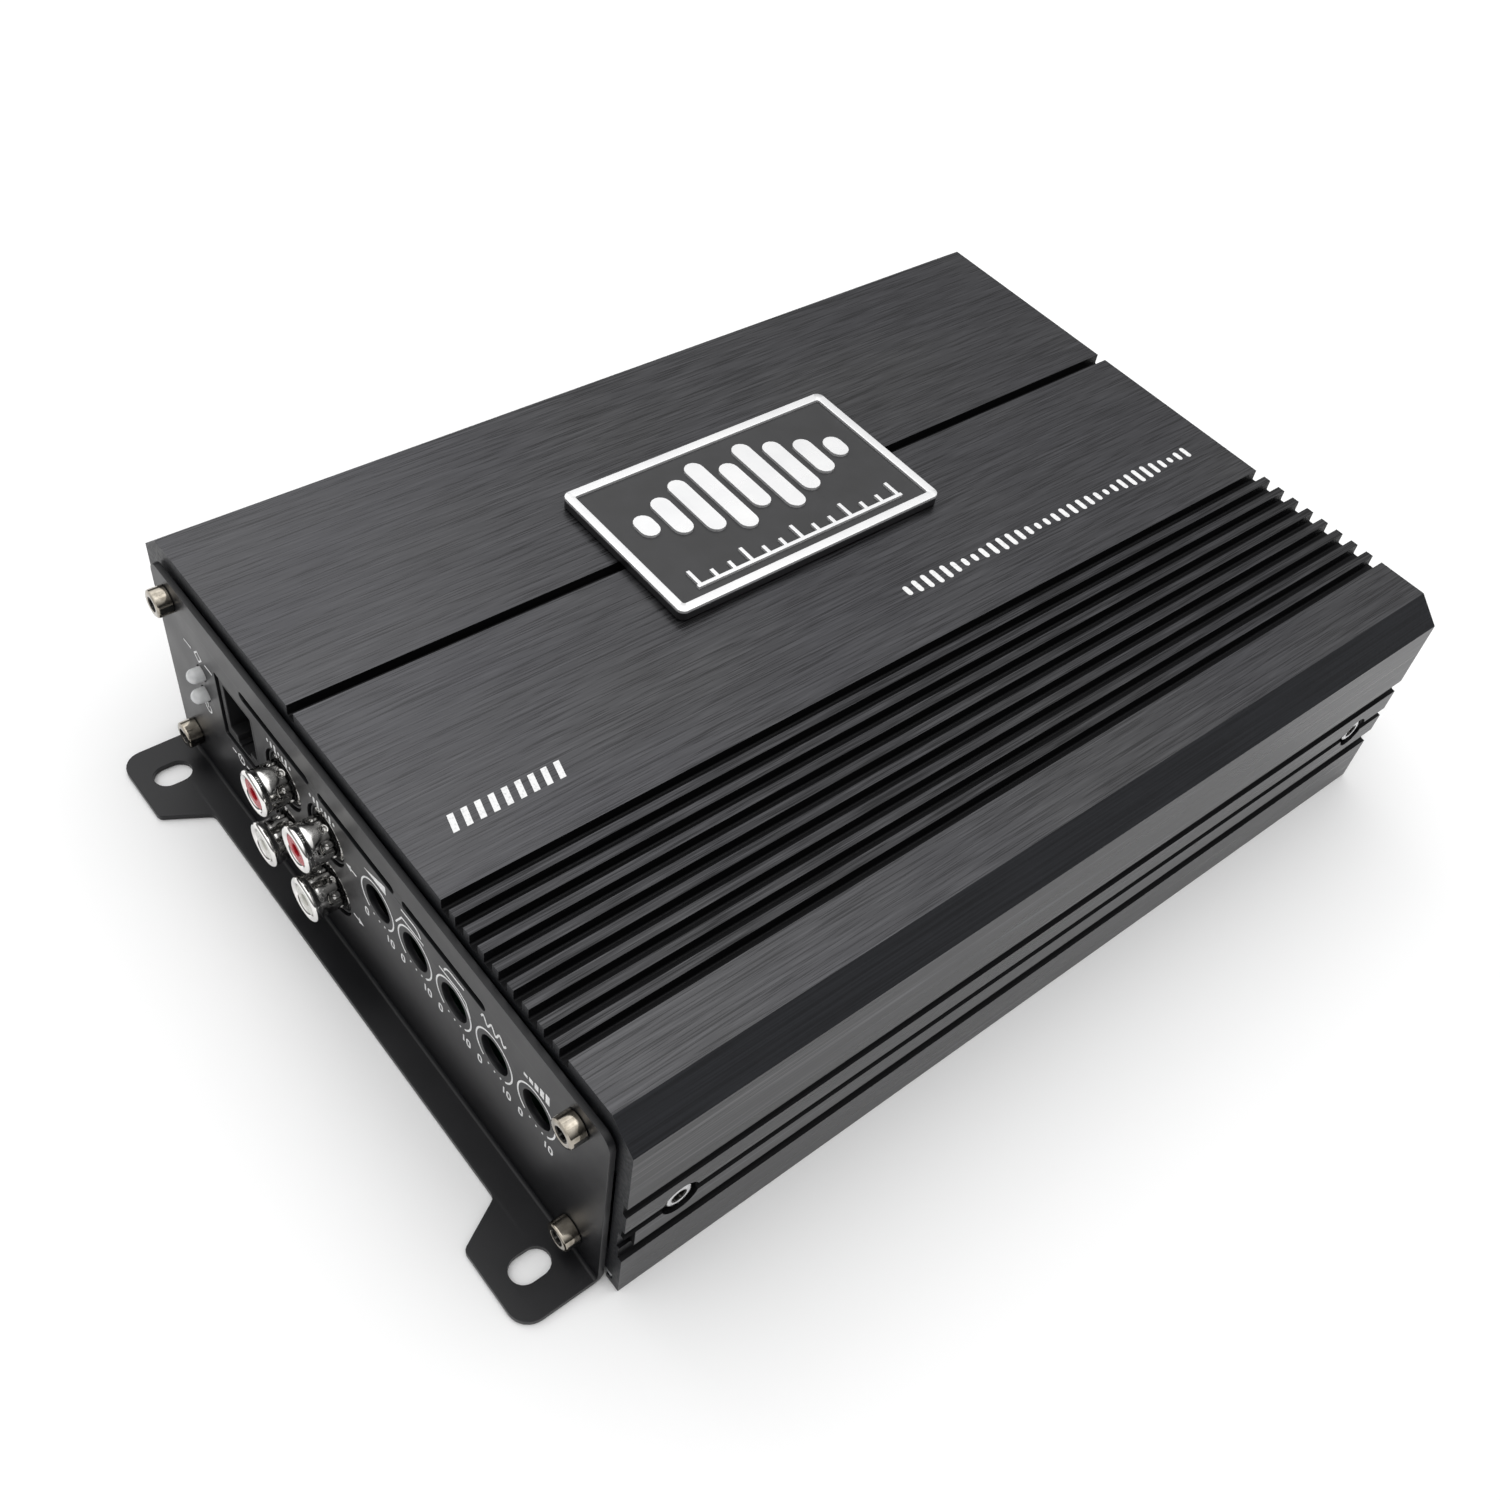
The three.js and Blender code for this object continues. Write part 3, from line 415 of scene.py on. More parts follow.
def hex_socket(r, height, angle):
    """Radius rule: a radius below 0 is a hexagon that many millimetres across flats."""
    if r >= 0:
        return r
    sector = math.pi / 3
    return -r / 2 / math.cos((angle % sector) - sector / 2)


def outwards(mesh):
    shape = bmesh.new()
    shape.from_mesh(mesh)
    bmesh.ops.recalc_face_normals(shape, faces=shape.faces)
    shape.to_mesh(mesh)
    shape.free()


def to_object(shape, name="scratch", scale=1):
    points, faces = shape
    mesh = bpy.data.meshes.new(name)
    mesh.from_pydata([tuple(c * scale for c in p) for p in points], [], faces)
    mesh.validate()
    outwards(mesh)
    return new_object(name, mesh)


def evaluated_shape(thing):
    seen = thing.evaluated_get(bpy.context.evaluated_depsgraph_get())
    mesh = seen.to_mesh()
    points = [tuple(v.co) for v in mesh.vertices]
    faces = [tuple(f.vertices) for f in mesh.polygons]
    seen.to_mesh_clear()
    return points, faces


def boolean(shape, tools, operation):
    """shape with all the tools cut away from it, or joined on to it."""
    for tool_shape in tools:
        base = to_object(shape)
        tool = to_object(tool_shape)
        modifier = base.modifiers.new("cut", "BOOLEAN")
        modifier.operation = operation
        modifier.solver = "EXACT"
        modifier.object = tool
        bpy.context.view_layer.update()
        shape = evaluated_shape(base)
        bpy.data.objects.remove(base)
        bpy.data.objects.remove(tool)
    return shape


def cut(shape, *tools):
    return boolean(shape, tools, "DIFFERENCE")


def fused(shape, *others):
    return boolean(shape, others, "UNION")


SHARP = 40
SHARP_BEVELLED = 35


def piece(name, shape, material, node=None, body=BODY, sharp=SHARP,
          bevel=0.0, more_materials=(), weighted=True):
    """A visible piece: its mesh in metres, with its materials, body and CAD node."""
    thing = to_object(shape, name, MM)
    mesh = thing.data
    for one in (material, *more_materials):
        mesh.materials.append(one)
    mesh.polygons.foreach_set("use_smooth", [True] * len(mesh.polygons))
    mesh.set_sharp_from_angle(angle=math.radians(SHARP_BEVELLED if bevel else sharp))
    if bevel:
        modifier = thing.modifiers.new("edges", "BEVEL")
        modifier.width = bevel * MM
        modifier.segments = 2
    if weighted:
        normals = thing.modifiers.new("normals", "WEIGHTED_NORMAL")
        normals.keep_sharp = not bevel
        normals.weight = 80
    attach(thing, body)
    if node:
        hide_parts(node)
    return thing


def box_of(node):
    """Lowest corner, middle and highest corner of a CAD node, in millimetres."""
    low, high = (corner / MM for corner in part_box(node))
    return low, (low + high) / 2, high


def mid_of(node):
    return box_of(node)[1]


def block_of(node):
    low, _, high = box_of(node)
    return block(low.x, high.x, low.y, high.y, low.z, high.z)


# --- heat-sink extrusion

CASE_HIGH = box_of("heatsink_extrusion")[2]
HALF_LENGTH = CASE_HIGH.x
HALF_WIDTH = CASE_HIGH.y
CASE_TOP = CASE_HIGH.z
CHAMFER = (5.4, 4.8)
GROOVES = [-26.07 - 3.93 * i for i in range(9)]
BADGE_GROOVE = 21.15
GROOVE_HALF = 1.125
GROOVE_FLOOR = CASE_TOP - 2.4
GROOVE_R = 0.4
SIDE_GROOVES = [(11.4, 15.0, 1.0), (19.7, 21.9, 0.8), (27.2, 30.3, 0.9)]
CAVITY_WALL = 71.4
CAVITY_ROOF = 46.8
END_SHY = 0.2
SCREW_Y = mid_of("control_panel_screw_1").y
SCREW_Z = [mid_of("control_panel_screw_1").z, mid_of("control_panel_screw_3").z]
BORE_R = 1.8
BORE_ENDS = ((-101, -88), (88, 101))
POCKET_DEPTH = 2.0
POCKET_R = 3.6
# box cut from one corner of the case, as x0, x1, y0, y1, z0, z1
CORNER_NOTCH = (-101, -97.6, -76, -73.2, 15.0, 19.7)
# Material indices of the extrusion; the groove, side and fin indices carry painted shade.
IN_BLACK, ON_SIDE, IN_GROOVE_SHADE, ON_FIN = 1, 2, 3, 4
CASE_BEVEL = 0.22


def side_profile(side):
    found = [(HALF_WIDTH, 0)]
    for low, high, depth in SIDE_GROOVES:
        inner = HALF_WIDTH - depth
        found += [(HALF_WIDTH, low), (inner + 0.15, low + 0.12), (inner, low + 0.3),
                  (inner, high - 0.2), (inner + 0.15, high), (HALF_WIDTH, high)]
    found += [(HALF_WIDTH, CASE_TOP - CHAMFER[1]), (HALF_WIDTH - CHAMFER[0], CASE_TOP)]
    return [(side * y, z) for y, z in found]


def groove_profile(y):
    left, right = y - GROOVE_HALF, y + GROOVE_HALF
    floor_z = GROOVE_FLOOR + GROOVE_R
    return ([(left, CASE_TOP)] + arc((left + GROOVE_R, floor_z), GROOVE_R, 180, 270, 3)
            + arc((right - GROOVE_R, floor_z), GROOVE_R, 270, 360, 3) + [(right, CASE_TOP)])


def cavity_profile(side):
    """Inside of the extrusion: plate groove, board groove and screw bosses."""
    wall, lip, boss = CAVITY_WALL, 57.5, 60.1
    top, low = SCREW_Z
    found = [(wall, 0), (wall, 1.2), (wall + 1.5, 1.2), (wall + 1.5, 3.0), (lip, 3.0),
             (lip, 4.5), (boss, 4.5), (boss, 6.7), (lip, 6.7), (lip, 8.0),
             (boss, low + 2.8), (60.9, low + 3.4), (wall, low + 3.4), (wall, top - 5.2),
             (67.3, top - 3.4), (60.5, top - 3.4), (60.5, CAVITY_ROOF)]
    return [(side * y, z) for y, z in found]


def material_of_face(face):
    """Material index of a face of the extrusion, from where it is and how it faces."""
    y, z = abs(face.center.y) / MM, face.center.z / MM
    turn_y = abs(face.normal.y)
    on_end = abs(face.normal.x) > 0.9
    in_top_groove = GROOVE_FLOOR - 0.1 < z < CASE_TOP - 0.05 and y < 66
    in_side_groove = HALF_WIDTH - 1.5 < y < HALF_WIDTH - 0.05 and z < 35
    in_cavity = y < CAVITY_WALL + 2 and z < CAVITY_ROOF + 0.1
    on_chamfer = 0.3 < turn_y < 0.95 and z > 40
    # Painted shade: faces in the top and side grooves take the near-black groove material.
    if in_top_groove or in_side_groove:
        return IN_GROOVE_SHADE
    if on_end or in_cavity or on_chamfer:
        return IN_BLACK
    # Side faces take the darker brushed copy, painted shade.
    if turn_y > 0.95:
        return ON_SIDE
    # Fin tops take the darker copy of the top's finish, painted shade.
    if z > CASE_TOP - 0.05 and GROOVES[-1] < face.center.y / MM < GROOVES[0]:
        return ON_FIN
    return 0


def case_extrusion():
    outline = side_profile(-1)
    for y in [*reversed(GROOVES), BADGE_GROOVE]:
        outline += groove_profile(y)
    outline += list(reversed(side_profile(1)))
    outline += cavity_profile(1) + list(reversed(cavity_profile(-1)))
    shape = prism(outline, "x", -HALF_LENGTH + END_SHY, HALF_LENGTH - END_SHY)
    tools = []
    for side in (-1, 1):
        for z in SCREW_Z:
            for ends in BORE_ENDS:
                tools.append(rod("x", side * SCREW_Y, z, BORE_R, ends))
        for node in ("front_clamp_screw_1", "front_clamp_screw_2"):
            at = mid_of(node)
            pocket = sorted((side * (HALF_WIDTH - POCKET_DEPTH), side * (HALF_WIDTH + 1)))
            bore = sorted((side * (CAVITY_WALL - 1), side * HALF_WIDTH))
            tools.append(rod("y", at.z, at.x, POCKET_R, pocket, 64))
            tools.append(rod("y", at.z, at.x, BORE_R, bore))
    tools.append(block(*CORNER_NOTCH))
    case = piece("case_extrusion", cut(shape, *tools), ANODISED,
                 "heatsink_extrusion", bevel=CASE_BEVEL,
                 more_materials=[UNBRUSHED, ANODISED_SIDE_PAINTED_SHADE, GROOVE_PAINTED_SHADE, ANODISED_FIN_PAINTED_SHADE])
    for face in case.data.polygons:
        face.material_index = material_of_face(face)


case_extrusion()

# --- bent end panels

PANEL_T = 1.2
BEND_OUTER = 2.0
BEND_NEUTRAL = BEND_OUTER - PANEL_T / 2
BEND_LENGTH = BEND_NEUTRAL * math.pi / 2
BEND_CUTS = 10
PANEL_LOW, PANEL_MIDDLE, PANEL_HIGH = box_of("control_end_panel")
PANEL_TOP = PANEL_HIGH.z
PANEL_BACK = HALF_LENGTH + 0.3
PANEL_FRONT = PANEL_BACK + PANEL_T
PANEL_MID = PANEL_MIDDLE.y
PANEL_HALF = (PANEL_HIGH.y - PANEL_LOW.y) / 2
PANEL_EDGE = 0.12
FOOT_REACH = -PANEL_LOW.x
FOOT_STRIP = 107.2
EAR_WIDTH = 17.1
SLOT_X = 109.0
SLOT_Y = 62.2
SLOT_SIZE = (7.4, 5.3)
VENTS = [(26.1, 40.6), (-0.9, 40.6), (-27.4, 40.6)]
VENT_SIZE = (24, 2.0)
WELD = 1e-4


def flat_of_x(x):
    """Place on the flat blank of a point on the foot, from its reach along X."""
    return -BEND_LENGTH - (x - PANEL_BACK - BEND_OUTER)


def flat_of_z(z):
    return z - BEND_OUTER


def on_blank(points, sign=1):
    """Outline on the flat blank from (y, z) points of the standing plate."""
    return [(sign * y - PANEL_MID, flat_of_z(z)) for y, z in points]


def blank_outline():
    """Outline of the flat blank in (y, place), about the panel's own middle."""
    tip = PANEL_HALF - EAR_WIDTH
    root = tip - 4.1
    inner = [(tip + 1.0, FOOT_REACH), (tip + 0.35, FOOT_REACH - 0.25),
             (tip - 0.05, FOOT_REACH - 0.7), (root + 0.05, FOOT_STRIP + 1.0),
             (root - 0.35, FOOT_STRIP + 0.4), (root - 0.9, FOOT_STRIP + 0.1),
             (root - 1.6, FOOT_STRIP)]
    corner = arc((PANEL_HALF - 3, PANEL_TOP - 3), 3, 90, 0, 8)
    ear = arc((PANEL_HALF - 4, FOOT_REACH - 4), 4, 0, 90, 8)
    half = [(y, flat_of_z(z)) for y, z in corner]
    half += [(y, flat_of_x(x)) for y, x in ear + inner]
    return half + [(-y, s) for y, s in reversed(half)]


def slot_outline(centre, length, width, upright=False):
    """Round-ended slot, its long way along y unless upright."""
    half, r = length / 2 - width / 2, width / 2
    points = arc((half, 0), r, -90, 90, 12) + arc((-half, 0), r, 90, 270, 12)
    if upright:
        points = [(-v, u) for u, v in points]
    return [(centre[0] + u, centre[1] + v) for u, v in points]


def flat_sheet(holes):
    """The blank lying flat from z 0 to its thickness, its edges slightly rounded."""
    curve = bpy.data.curves.new("blank", "CURVE")
    curve.dimensions = "2D"
    curve.fill_mode = "BOTH"
    curve.extrude = PANEL_T / 2 - PANEL_EDGE
    curve.bevel_depth = PANEL_EDGE
    curve.bevel_resolution = 1
    curve.offset = -PANEL_EDGE
    for path in [blank_outline(), *holes]:
        spline = curve.splines.new("POLY")
        spline.points.add(len(path) - 1)
        for point, (u, v) in zip(spline.points, path):
            point.co = (u, v, 0, 1)
        spline.use_cyclic_u = True
    thing = new_object("blank", curve)
    bpy.context.view_layer.update()
    shape = evaluated_shape(thing)
    bpy.data.objects.remove(thing)
    return moved(shape, (0, 0, PANEL_T / 2))


def folded(y, place, depth):
    """Where a point of the blank is after bending, at the -X end."""
    if place >= 0:
        return -PANEL_BACK - depth, y + PANEL_MID, BEND_OUTER + place
    hinge = -PANEL_BACK - BEND_OUTER
    if place <= -BEND_LENGTH:
        return hinge + place + BEND_LENGTH, y + PANEL_MID, depth
    angle = -place / BEND_NEUTRAL
    r = BEND_OUTER - depth
    return hinge + r * math.cos(angle), y + PANEL_MID, BEND_OUTER - r * math.sin(angle)


def bent_panel(holes):
    """The blank bent into plate and foot at the -X end."""
    work = bmesh.new()
    points, faces = flat_sheet(holes)
    corners = [work.verts.new(p) for p in points]
    made = set()
    for face in faces:
        if len(set(face)) > 2 and frozenset(face) not in made:
            made.add(frozenset(face))
            work.faces.new([corners[i] for i in face])
    bmesh.ops.remove_doubles(work, verts=work.verts, dist=WELD)
    for i in range(BEND_CUTS + 1):
        bmesh.ops.bisect_plane(work, geom=work.verts[:] + work.edges[:] + work.faces[:],
                               dist=1e-5, plane_co=(0, -BEND_LENGTH * i / BEND_CUTS, 0),
                               plane_no=(0, 1, 0))
    for v in work.verts:
        v.co = folded(*v.co)
    work.verts.index_update()
    found = ([tuple(v.co) for v in work.verts],
             [tuple(v.index for v in f.verts) for f in work.faces])
    work.free()
    return found


def common_holes():
    """Screw holes, vents and foot slots that both panels have."""
    holes = []
    for side in (-1, 1):
        for z in SCREW_Z:
            holes.append(on_blank(ring((side * SCREW_Y, z), BORE_R, 24)))
        holes.append(slot_outline((side * SLOT_Y, flat_of_x(SLOT_X)), *SLOT_SIZE, True))
    for y, z in VENTS:
        holes.append(on_blank(slot_outline((y, z), *VENT_SIZE)))
    return holes


DIALS = ["gain", "low_pass", "subsonic", "boost_frequency", "boost_level"]
JACKS = ["input_jack_1", "input_jack_2", "output_jack_1", "output_jack_2"]
LAMPS = ["protect_lamp", "power_lamp"]
TERMINALS = ["supply", "remote", "ground", "speaker_plus", "speaker_minus"]
ROUND_HOLES = [(DIALS, "_rotor", 3.7, 64), (JACKS, "_shell", 6.1, 80), (LAMPS, "", 1.75, 32)]
PORT_FLOOR = 20.7
PORT_GAP = 0.5
BLOCK_STEP = 28.5
BLOCK_GAP = 0.4
WINDOW_BASE = 8.8


def control_panel():
    holes = common_holes()
    for names, ending, r, count in ROUND_HOLES:
        for name in names:
            at = mid_of(name + ending)
            holes.append(on_blank(ring((at.y, at.z), r, count)))
    low, _, high = box_of("remote_port")
    holes.append(on_blank(rounded(low.y - PORT_GAP, high.y + PORT_GAP, PORT_FLOOR,
                                  high.z + PORT_GAP, 0.5, 3)))
    piece("control_panel_sheet", bent_panel(holes), PANEL,
          "control_end_panel")


def power_panel():
    """The same blank turned half round, with a stepped window for the block."""
    low, _, high = box_of("connector_block")
    y_low, y_high, roof = low.y - BLOCK_GAP, high.y + BLOCK_GAP, high.z + BLOCK_GAP
    shelf_y, shelf = BLOCK_STEP - BLOCK_GAP, 24.4
    window = [(y_low, WINDOW_BASE), (y_high, WINDOW_BASE), (y_high, roof),
              (shelf_y, roof), (shelf_y, shelf), (y_low, shelf)]
    points, faces = bent_panel(common_holes() + [on_blank(reversed(window), -1)])
    turned = [(-x, -y, z) for x, y, z in points], faces
    piece("power_panel_sheet", turned, PANEL, "power_end_panel")


control_panel()
power_panel()

# --- screws

SOCKET_ACROSS = 2.5
SOCKET_R = 1.5
SHANK = 8.9
SHANK_R = 1.5
LIP = 0.28
# screw heads as (radius, height, socket depth)
CAP_HEAD = (2.75, 3.0, 1.9)
POCKET_HEAD = (2.6, 1.55, 1.1)
SEAT_GAP = 0.05


def cap_screw(name, node, direction, seat, head, material):
    """Socket-head screw. seat is the centre of the underside of its head, and head is
    (radius, height, socket depth)."""
    r, tall, depth = head
    flat = SOCKET_ACROSS / 2
    profile = [(0.02, -SHANK), (SHANK_R - 0.15, -SHANK), (SHANK_R, -SHANK + 0.3),
               (SHANK_R, 0), (r - 0.12, 0), (r, 0.12), (r, tall - LIP * 1.6),
               (r - LIP * 0.3, tall - LIP * 0.7), (r - LIP, tall - 0.08),
               (r - LIP * 1.5, tall), (flat + 0.36, tall), (flat + 0.26, tall - 0.04),
               (-SOCKET_ACROSS, tall - 0.24), (-SOCKET_ACROSS, tall - depth),
               (0.02, tall - depth - 0.35)]
    screw = piece(name, revolved(profile, direction, seat, radius=hex_socket), material,
                  node, more_materials=[SOCKET_PAINTED_SHADE])
    # Painted shade: faces within the socket radius take the near-black second material.
    for face in screw.data.polygons:
        off = face.center / MM - Vector(seat)
        across = math.hypot(off.y if abs(off.x) > abs(off.y) else off.x, off.z)
        if across < SOCKET_R and off.length < 4:
            face.material_index = 1


def screws():
    for end, direction, side in (("control", "-x", -1), ("power", "+x", 1)):
        for i in range(1, 5):
            node = f"{end}_panel_screw_{i}"
            at = mid_of(node)
            cap_screw(f"{end}_cap_screw_{i}", node, direction,
                      (side * (PANEL_FRONT + SEAT_GAP), at.y, at.z), CAP_HEAD,
                      NICKEL_SCREW)
    for wall, direction, side in (("front", "-y", -1), ("rear", "+y", 1)):
        for i in (1, 2):
            node = f"{wall}_clamp_screw_{i}"
            at = mid_of(node)
            cap_screw(f"{wall}_pocket_screw_{i}", node, direction,
                      (at.x, side * (HALF_WIDTH - POCKET_DEPTH + SEAT_GAP), at.z),
                      POCKET_HEAD, STEEL)


screws()

# --- ink marks


def ribbon(points, width, axis, ends, closed=False):
    """A line of even width through points, as a thin solid between its two ends."""
    count = len(points)
    start, end = ends
    rings = []
    for i, (u, v) in enumerate(points):
        into = (i - 1) % count if closed or i else 0
        out = (i + 1) % count if closed or i < count - 1 else i
        first = Vector((u - points[into][0], v - points[into][1])).normalized()
        second = Vector((points[out][0] - u, points[out][1] - v)).normalized()
        first, second = first if into != i else second, second if out != i else first
        across = Vector((-(first.y + second.y), first.x + second.x)).normalized()
        reach = width / 2 / max(0.5, across.dot(Vector((-first.y, first.x))))
        left = (u + across.x * reach, v + across.y * reach)
        right = (u - across.x * reach, v - across.y * reach)
        rings.append([on_axis(axis, *left, start), on_axis(axis, *right, start),
                      on_axis(axis, *right, end), on_axis(axis, *left, end)])
    return loft(rings, closed)


def pill(centre, width, height):
    r = min(width, height) / 2 - 1e-3
    x, y = centre
    return rounded(x - width / 2, x + width / 2, y - height / 2, y + height / 2, r, 4)


INK_GAP = 0.01
INK_T = 0.04
DIGIT_HEIGHT = 2.1
DIGIT_WIDTH = 0.34


class Print:
    """Ink marks on one plane. side is the outward sign along the plane's axis."""

    def __init__(self, axis, at, side):
        self.axis = axis
        self.ends = (at + side * INK_GAP, at + side * (INK_GAP + INK_T))
        self.shapes = []

    def line(self, points, width=0.36, closed=False):
        self.shapes.append(ribbon(points, width, self.axis, self.ends, closed))

    def fill(self, outline):
        self.shapes.append(prism(outline, self.axis, *self.ends))

    def zero(self, u, v):
        half = DIGIT_HEIGHT / 2 - DIGIT_WIDTH / 2
        side = DIGIT_HEIGHT * 0.3 - DIGIT_WIDTH / 2
        outline = rounded(-side, side, -half, half, side * 0.95, 4)
        self.line([(u + x, v + y) for x, y in outline], DIGIT_WIDTH, True)

    def one(self, u, v):
        half = DIGIT_HEIGHT / 2 - DIGIT_WIDTH / 2
        self.line([(u, v - half), (u, v + half)], DIGIT_WIDTH)

    def finish(self, name):
        piece(name, joined(*self.shapes), INK)


# --- input and output jacks

SLEEVE_R = 4.15
BOSS_R = 5.75
JACK_BORE_R = 5.3


def smooth_step(value):
    value = min(max(value, 0.0), 1.0)
    return value * value * (3 - 2 * value)


def pressed(r, height, angle):
    """Radius of the jack sleeve: long pressed flutes with a small round dimple between."""
    if not 0.9 < height < 5.2 or r < 3.8:
        return r
    quarter = math.pi / 2
    off = ((angle + 0.35) % quarter) - quarter / 2
    arc_length = abs(off) * r
    top = 4.4 - 0.28 * arc_length ** 2
    flute = smooth_step((1.35 - arc_length) / 0.45) * smooth_step((top - height) / 0.5)
    ridge = smooth_step((0.62 - arc_length) / 0.3) * smooth_step((3.3 - height) / 0.5)
    between = quarter / 2 - abs(off)
    dimple = smooth_step((0.62 - math.hypot(between * r, height - 2.3)) / 0.22)
    return r - 0.30 * flute + 0.22 * ridge - 0.42 * dimple


def jack(name, material):
    low, mid, high = box_of(name + "_shell")
    at = (high.x, mid.y, mid.z)
    profile = [(3.25, 0), (5.2, 0), (5.2, 0.6), (5.05, 0.8), (4.42, 0.82), (4.2, 0.92)]
    profile += [(SLEEVE_R, 1.05 + 0.12 * i) for i in range(33)]
    profile += [(4.14, 5.15), (4.12, 5.45), (4.11, 5.7), (4.15, 5.88), (4.26, 6.0)]
    profile += [(min(r, 4.45), min(h, high.x - low.x))
                for r, h in arc((3.80, 6.70), 0.69, -42, 180, 18)]
    profile += [(3.11, 6.3), (3.25, 6.0)]
    piece(name + "_sleeve", revolved(profile, "-x", at, 128, closed=True, radius=pressed),
          NICKEL_PAINTED_HIGHLIGHT, name + "_shell", sharp=50)
    insert = [(0.01, 0.2), (2.95, 0.2), (2.95, 6.9), (2.82, 7.05), (1.4, 7.05),
              (1.25, 6.9), (1.25, 1.4), (0.01, 1.4)]
    piece(name + "_insert", revolved(insert, "-x", at, 64), material,
          name + "_insulator")
    contact = [(1.05, 1.6), (1.3, 1.6), (1.3, 3.6), (1.05, 3.6)]
    piece(name + "_contact", revolved(contact, "-x", at, 32, closed=True), GOLD)


def jacks():
    for name in JACKS[:2]:
        jack(name, RED_PLASTIC)
    for name in JACKS[2:]:
        jack(name, WHITE_PLASTIC)
    low, _, high = box_of("rca_block")
    bosses = []
    cuts = []
    for name in JACKS:
        at = mid_of(name + "_shell")
        bosses.append(rod("x", at.y, at.z, BOSS_R, (high.x - 14, low.x - 1.35), 64))
        cuts.append(rod("x", at.y, at.z, JACK_BORE_R, (low.x - 3, low.x - 0.02), 64))
        cuts.append(block(low.x - 3, low.x - 0.3, at.y - 1.2, at.y + 1.2,
                          at.z - 7, at.z - 4))
    piece("jack_block", cut(fused(block_of("rca_block"), *bosses), *cuts), BLACK_PLASTIC,
          "rca_block", bevel=0.15)


jacks()

# --- trim controls

KNURLS = 20


def knurl(r, height, angle):
    return r - 0.11 * (1 - math.cos(angle * KNURLS)) / 2 if r > 2.8 else r


def dials():
    for dial in DIALS:
        low, _, high = box_of(dial + "_control_body")
        tip, at, _ = box_of(dial + "_rotor")
        seat = (low.x + 0.6, at.y, at.z)
        body = block(seat[0], high.x, low.y, high.y, low.z, high.z)
        collar = revolved([(0.02, -1), (4.4, -1), (4.4, 0.45), (4.25, 0.6), (0.02, 0.6)],
                          "-x", seat, 64)
        bore = revolved([(0.02, -5.6), (3.3, -5.6), (3.3, 1.2), (0.02, 1.2)], "-x", seat, 64)
        piece(dial + "_potentiometer", cut(fused(body, collar), bore), BLACK_PLASTIC,
              dial + "_control_body", bevel=0.15)
        profile = [(0.02, -6.6), (3.0, -6.6), (3.0, -0.35), (2.75, -0.02), (0.02, 0)]
        shaft = revolved(profile, "-x", (tip.x, at.y, at.z), 120, radius=knurl)
        slot_cut = bar(tip.x - 1, tip.x + 1.3, at.y, 0.5, at.z, 2.5)
        piece(dial + "_shaft", cut(shaft, slot_cut), STEEL,
              dial + "_rotor", body=dial + "_dial", weighted=False)


dials()

# --- lamps and port

LENS_R = 1.5
DOME_STEPS = 12
PORT_BACK = -87.0
PORT_BASE = 21.2
PORT_WALL = 1.5
WIRES = 6
WIRE_PITCH = 1.02
WIRE_HALF = 0.2
WIRE_PATH = [(-91.4, 34.4), (-94.5, 34.2), (-98.6, 31.0), (-98.9, 30.6)]


def lamps():
    for name in LAMPS:
        low, mid, high = box_of(name)
        at = (high.x, mid.y, mid.z)
        length = high.x - low.x
        dome = arc((0, length - LENS_R), LENS_R, 0, 90, DOME_STEPS)[:-1]
        profile = [(0.01, 0), (1.9, 0), (1.9, 0.9), (LENS_R, 0.95), *dome, (0.01, length)]
        piece(name + "_lens", revolved(profile, "-x", at), CLEAR, name)
        cup = [(0.01, 1.4), (0.62, 1.4), (0.62, 3.0), (0.78, 3.5), (0.6, 3.5), (0.45, 3.1),
               (0.01, 3.1)]
        piece(name + "_die_cup", revolved(cup, "-x", at, 32), NICKEL_PAINTED_HIGHLIGHT)
    piece("lamp_stand", block_of("lamp_holder"), BLACK_PLASTIC,
          "lamp_holder", bevel=0.3)


def remote_port():
    low, mid, high = box_of("remote_port")
    y = mid.y
    mouth, base, wall = low.x - 1, PORT_BASE, PORT_WALL
    shroud = block(low.x, PORT_BACK, low.y, high.y, base, high.z)
    stand = block(-99.9, PORT_BACK, low.y, high.y, low.z, base + 1)
    cavity = block(mouth, -91, low.y + wall, high.y - wall, base + 2.6, high.z - wall)
    notch = block(mouth, -94, y - 2.4, y + 2.4, base + 1, base + 3)
    step = block(mouth, -96.5, y - 1.4, y + 1.4, base + 0.4, base + 2)
    piece("port_housing", cut(fused(shroud, stand), cavity, notch, step), BLACK_PLASTIC,
          "remote_port", bevel=0.18)
    wires = []
    for i in range(WIRES):
        y = mid.y + (i - (WIRES - 1) / 2) * WIRE_PITCH
        for (x0, z0), (x1, z1) in zip(WIRE_PATH, WIRE_PATH[1:]):
            turn = Vector((z0 - z1, x1 - x0)).normalized() * WIRE_HALF
            wires.append(loft([[(x + sx * turn.x, y + sy * WIRE_HALF, z + sx * turn.y)
                                for sx, sy in ((-1, -1), (-1, 1), (1, 1), (1, -1))]
                               for x, z in ((x0, z0), (x1, z1))]))
    piece("port_contacts", joined(*wires), GOLD)


lamps()
remote_port()

# --- badge

BADGE_RIM = 1.9
BADGE_FIELD = 53.2
MARK_ROOT = BADGE_FIELD - 0.15
BAR_HEIGHTS = [6, 11, 16, 21, 14, 21, 16, 11, 6]
BAR_WIDTH = 4.1
BAR_PITCH = 5.9
TICKS = 13
TICK_PITCH = 4.1
TICK_HALF = 0.4
SCALE_HALF = 25.4


def inset(low, high, by, r):
    return rounded(low.x + by, high.x - by, low.y + by, high.y - by, r, 8)


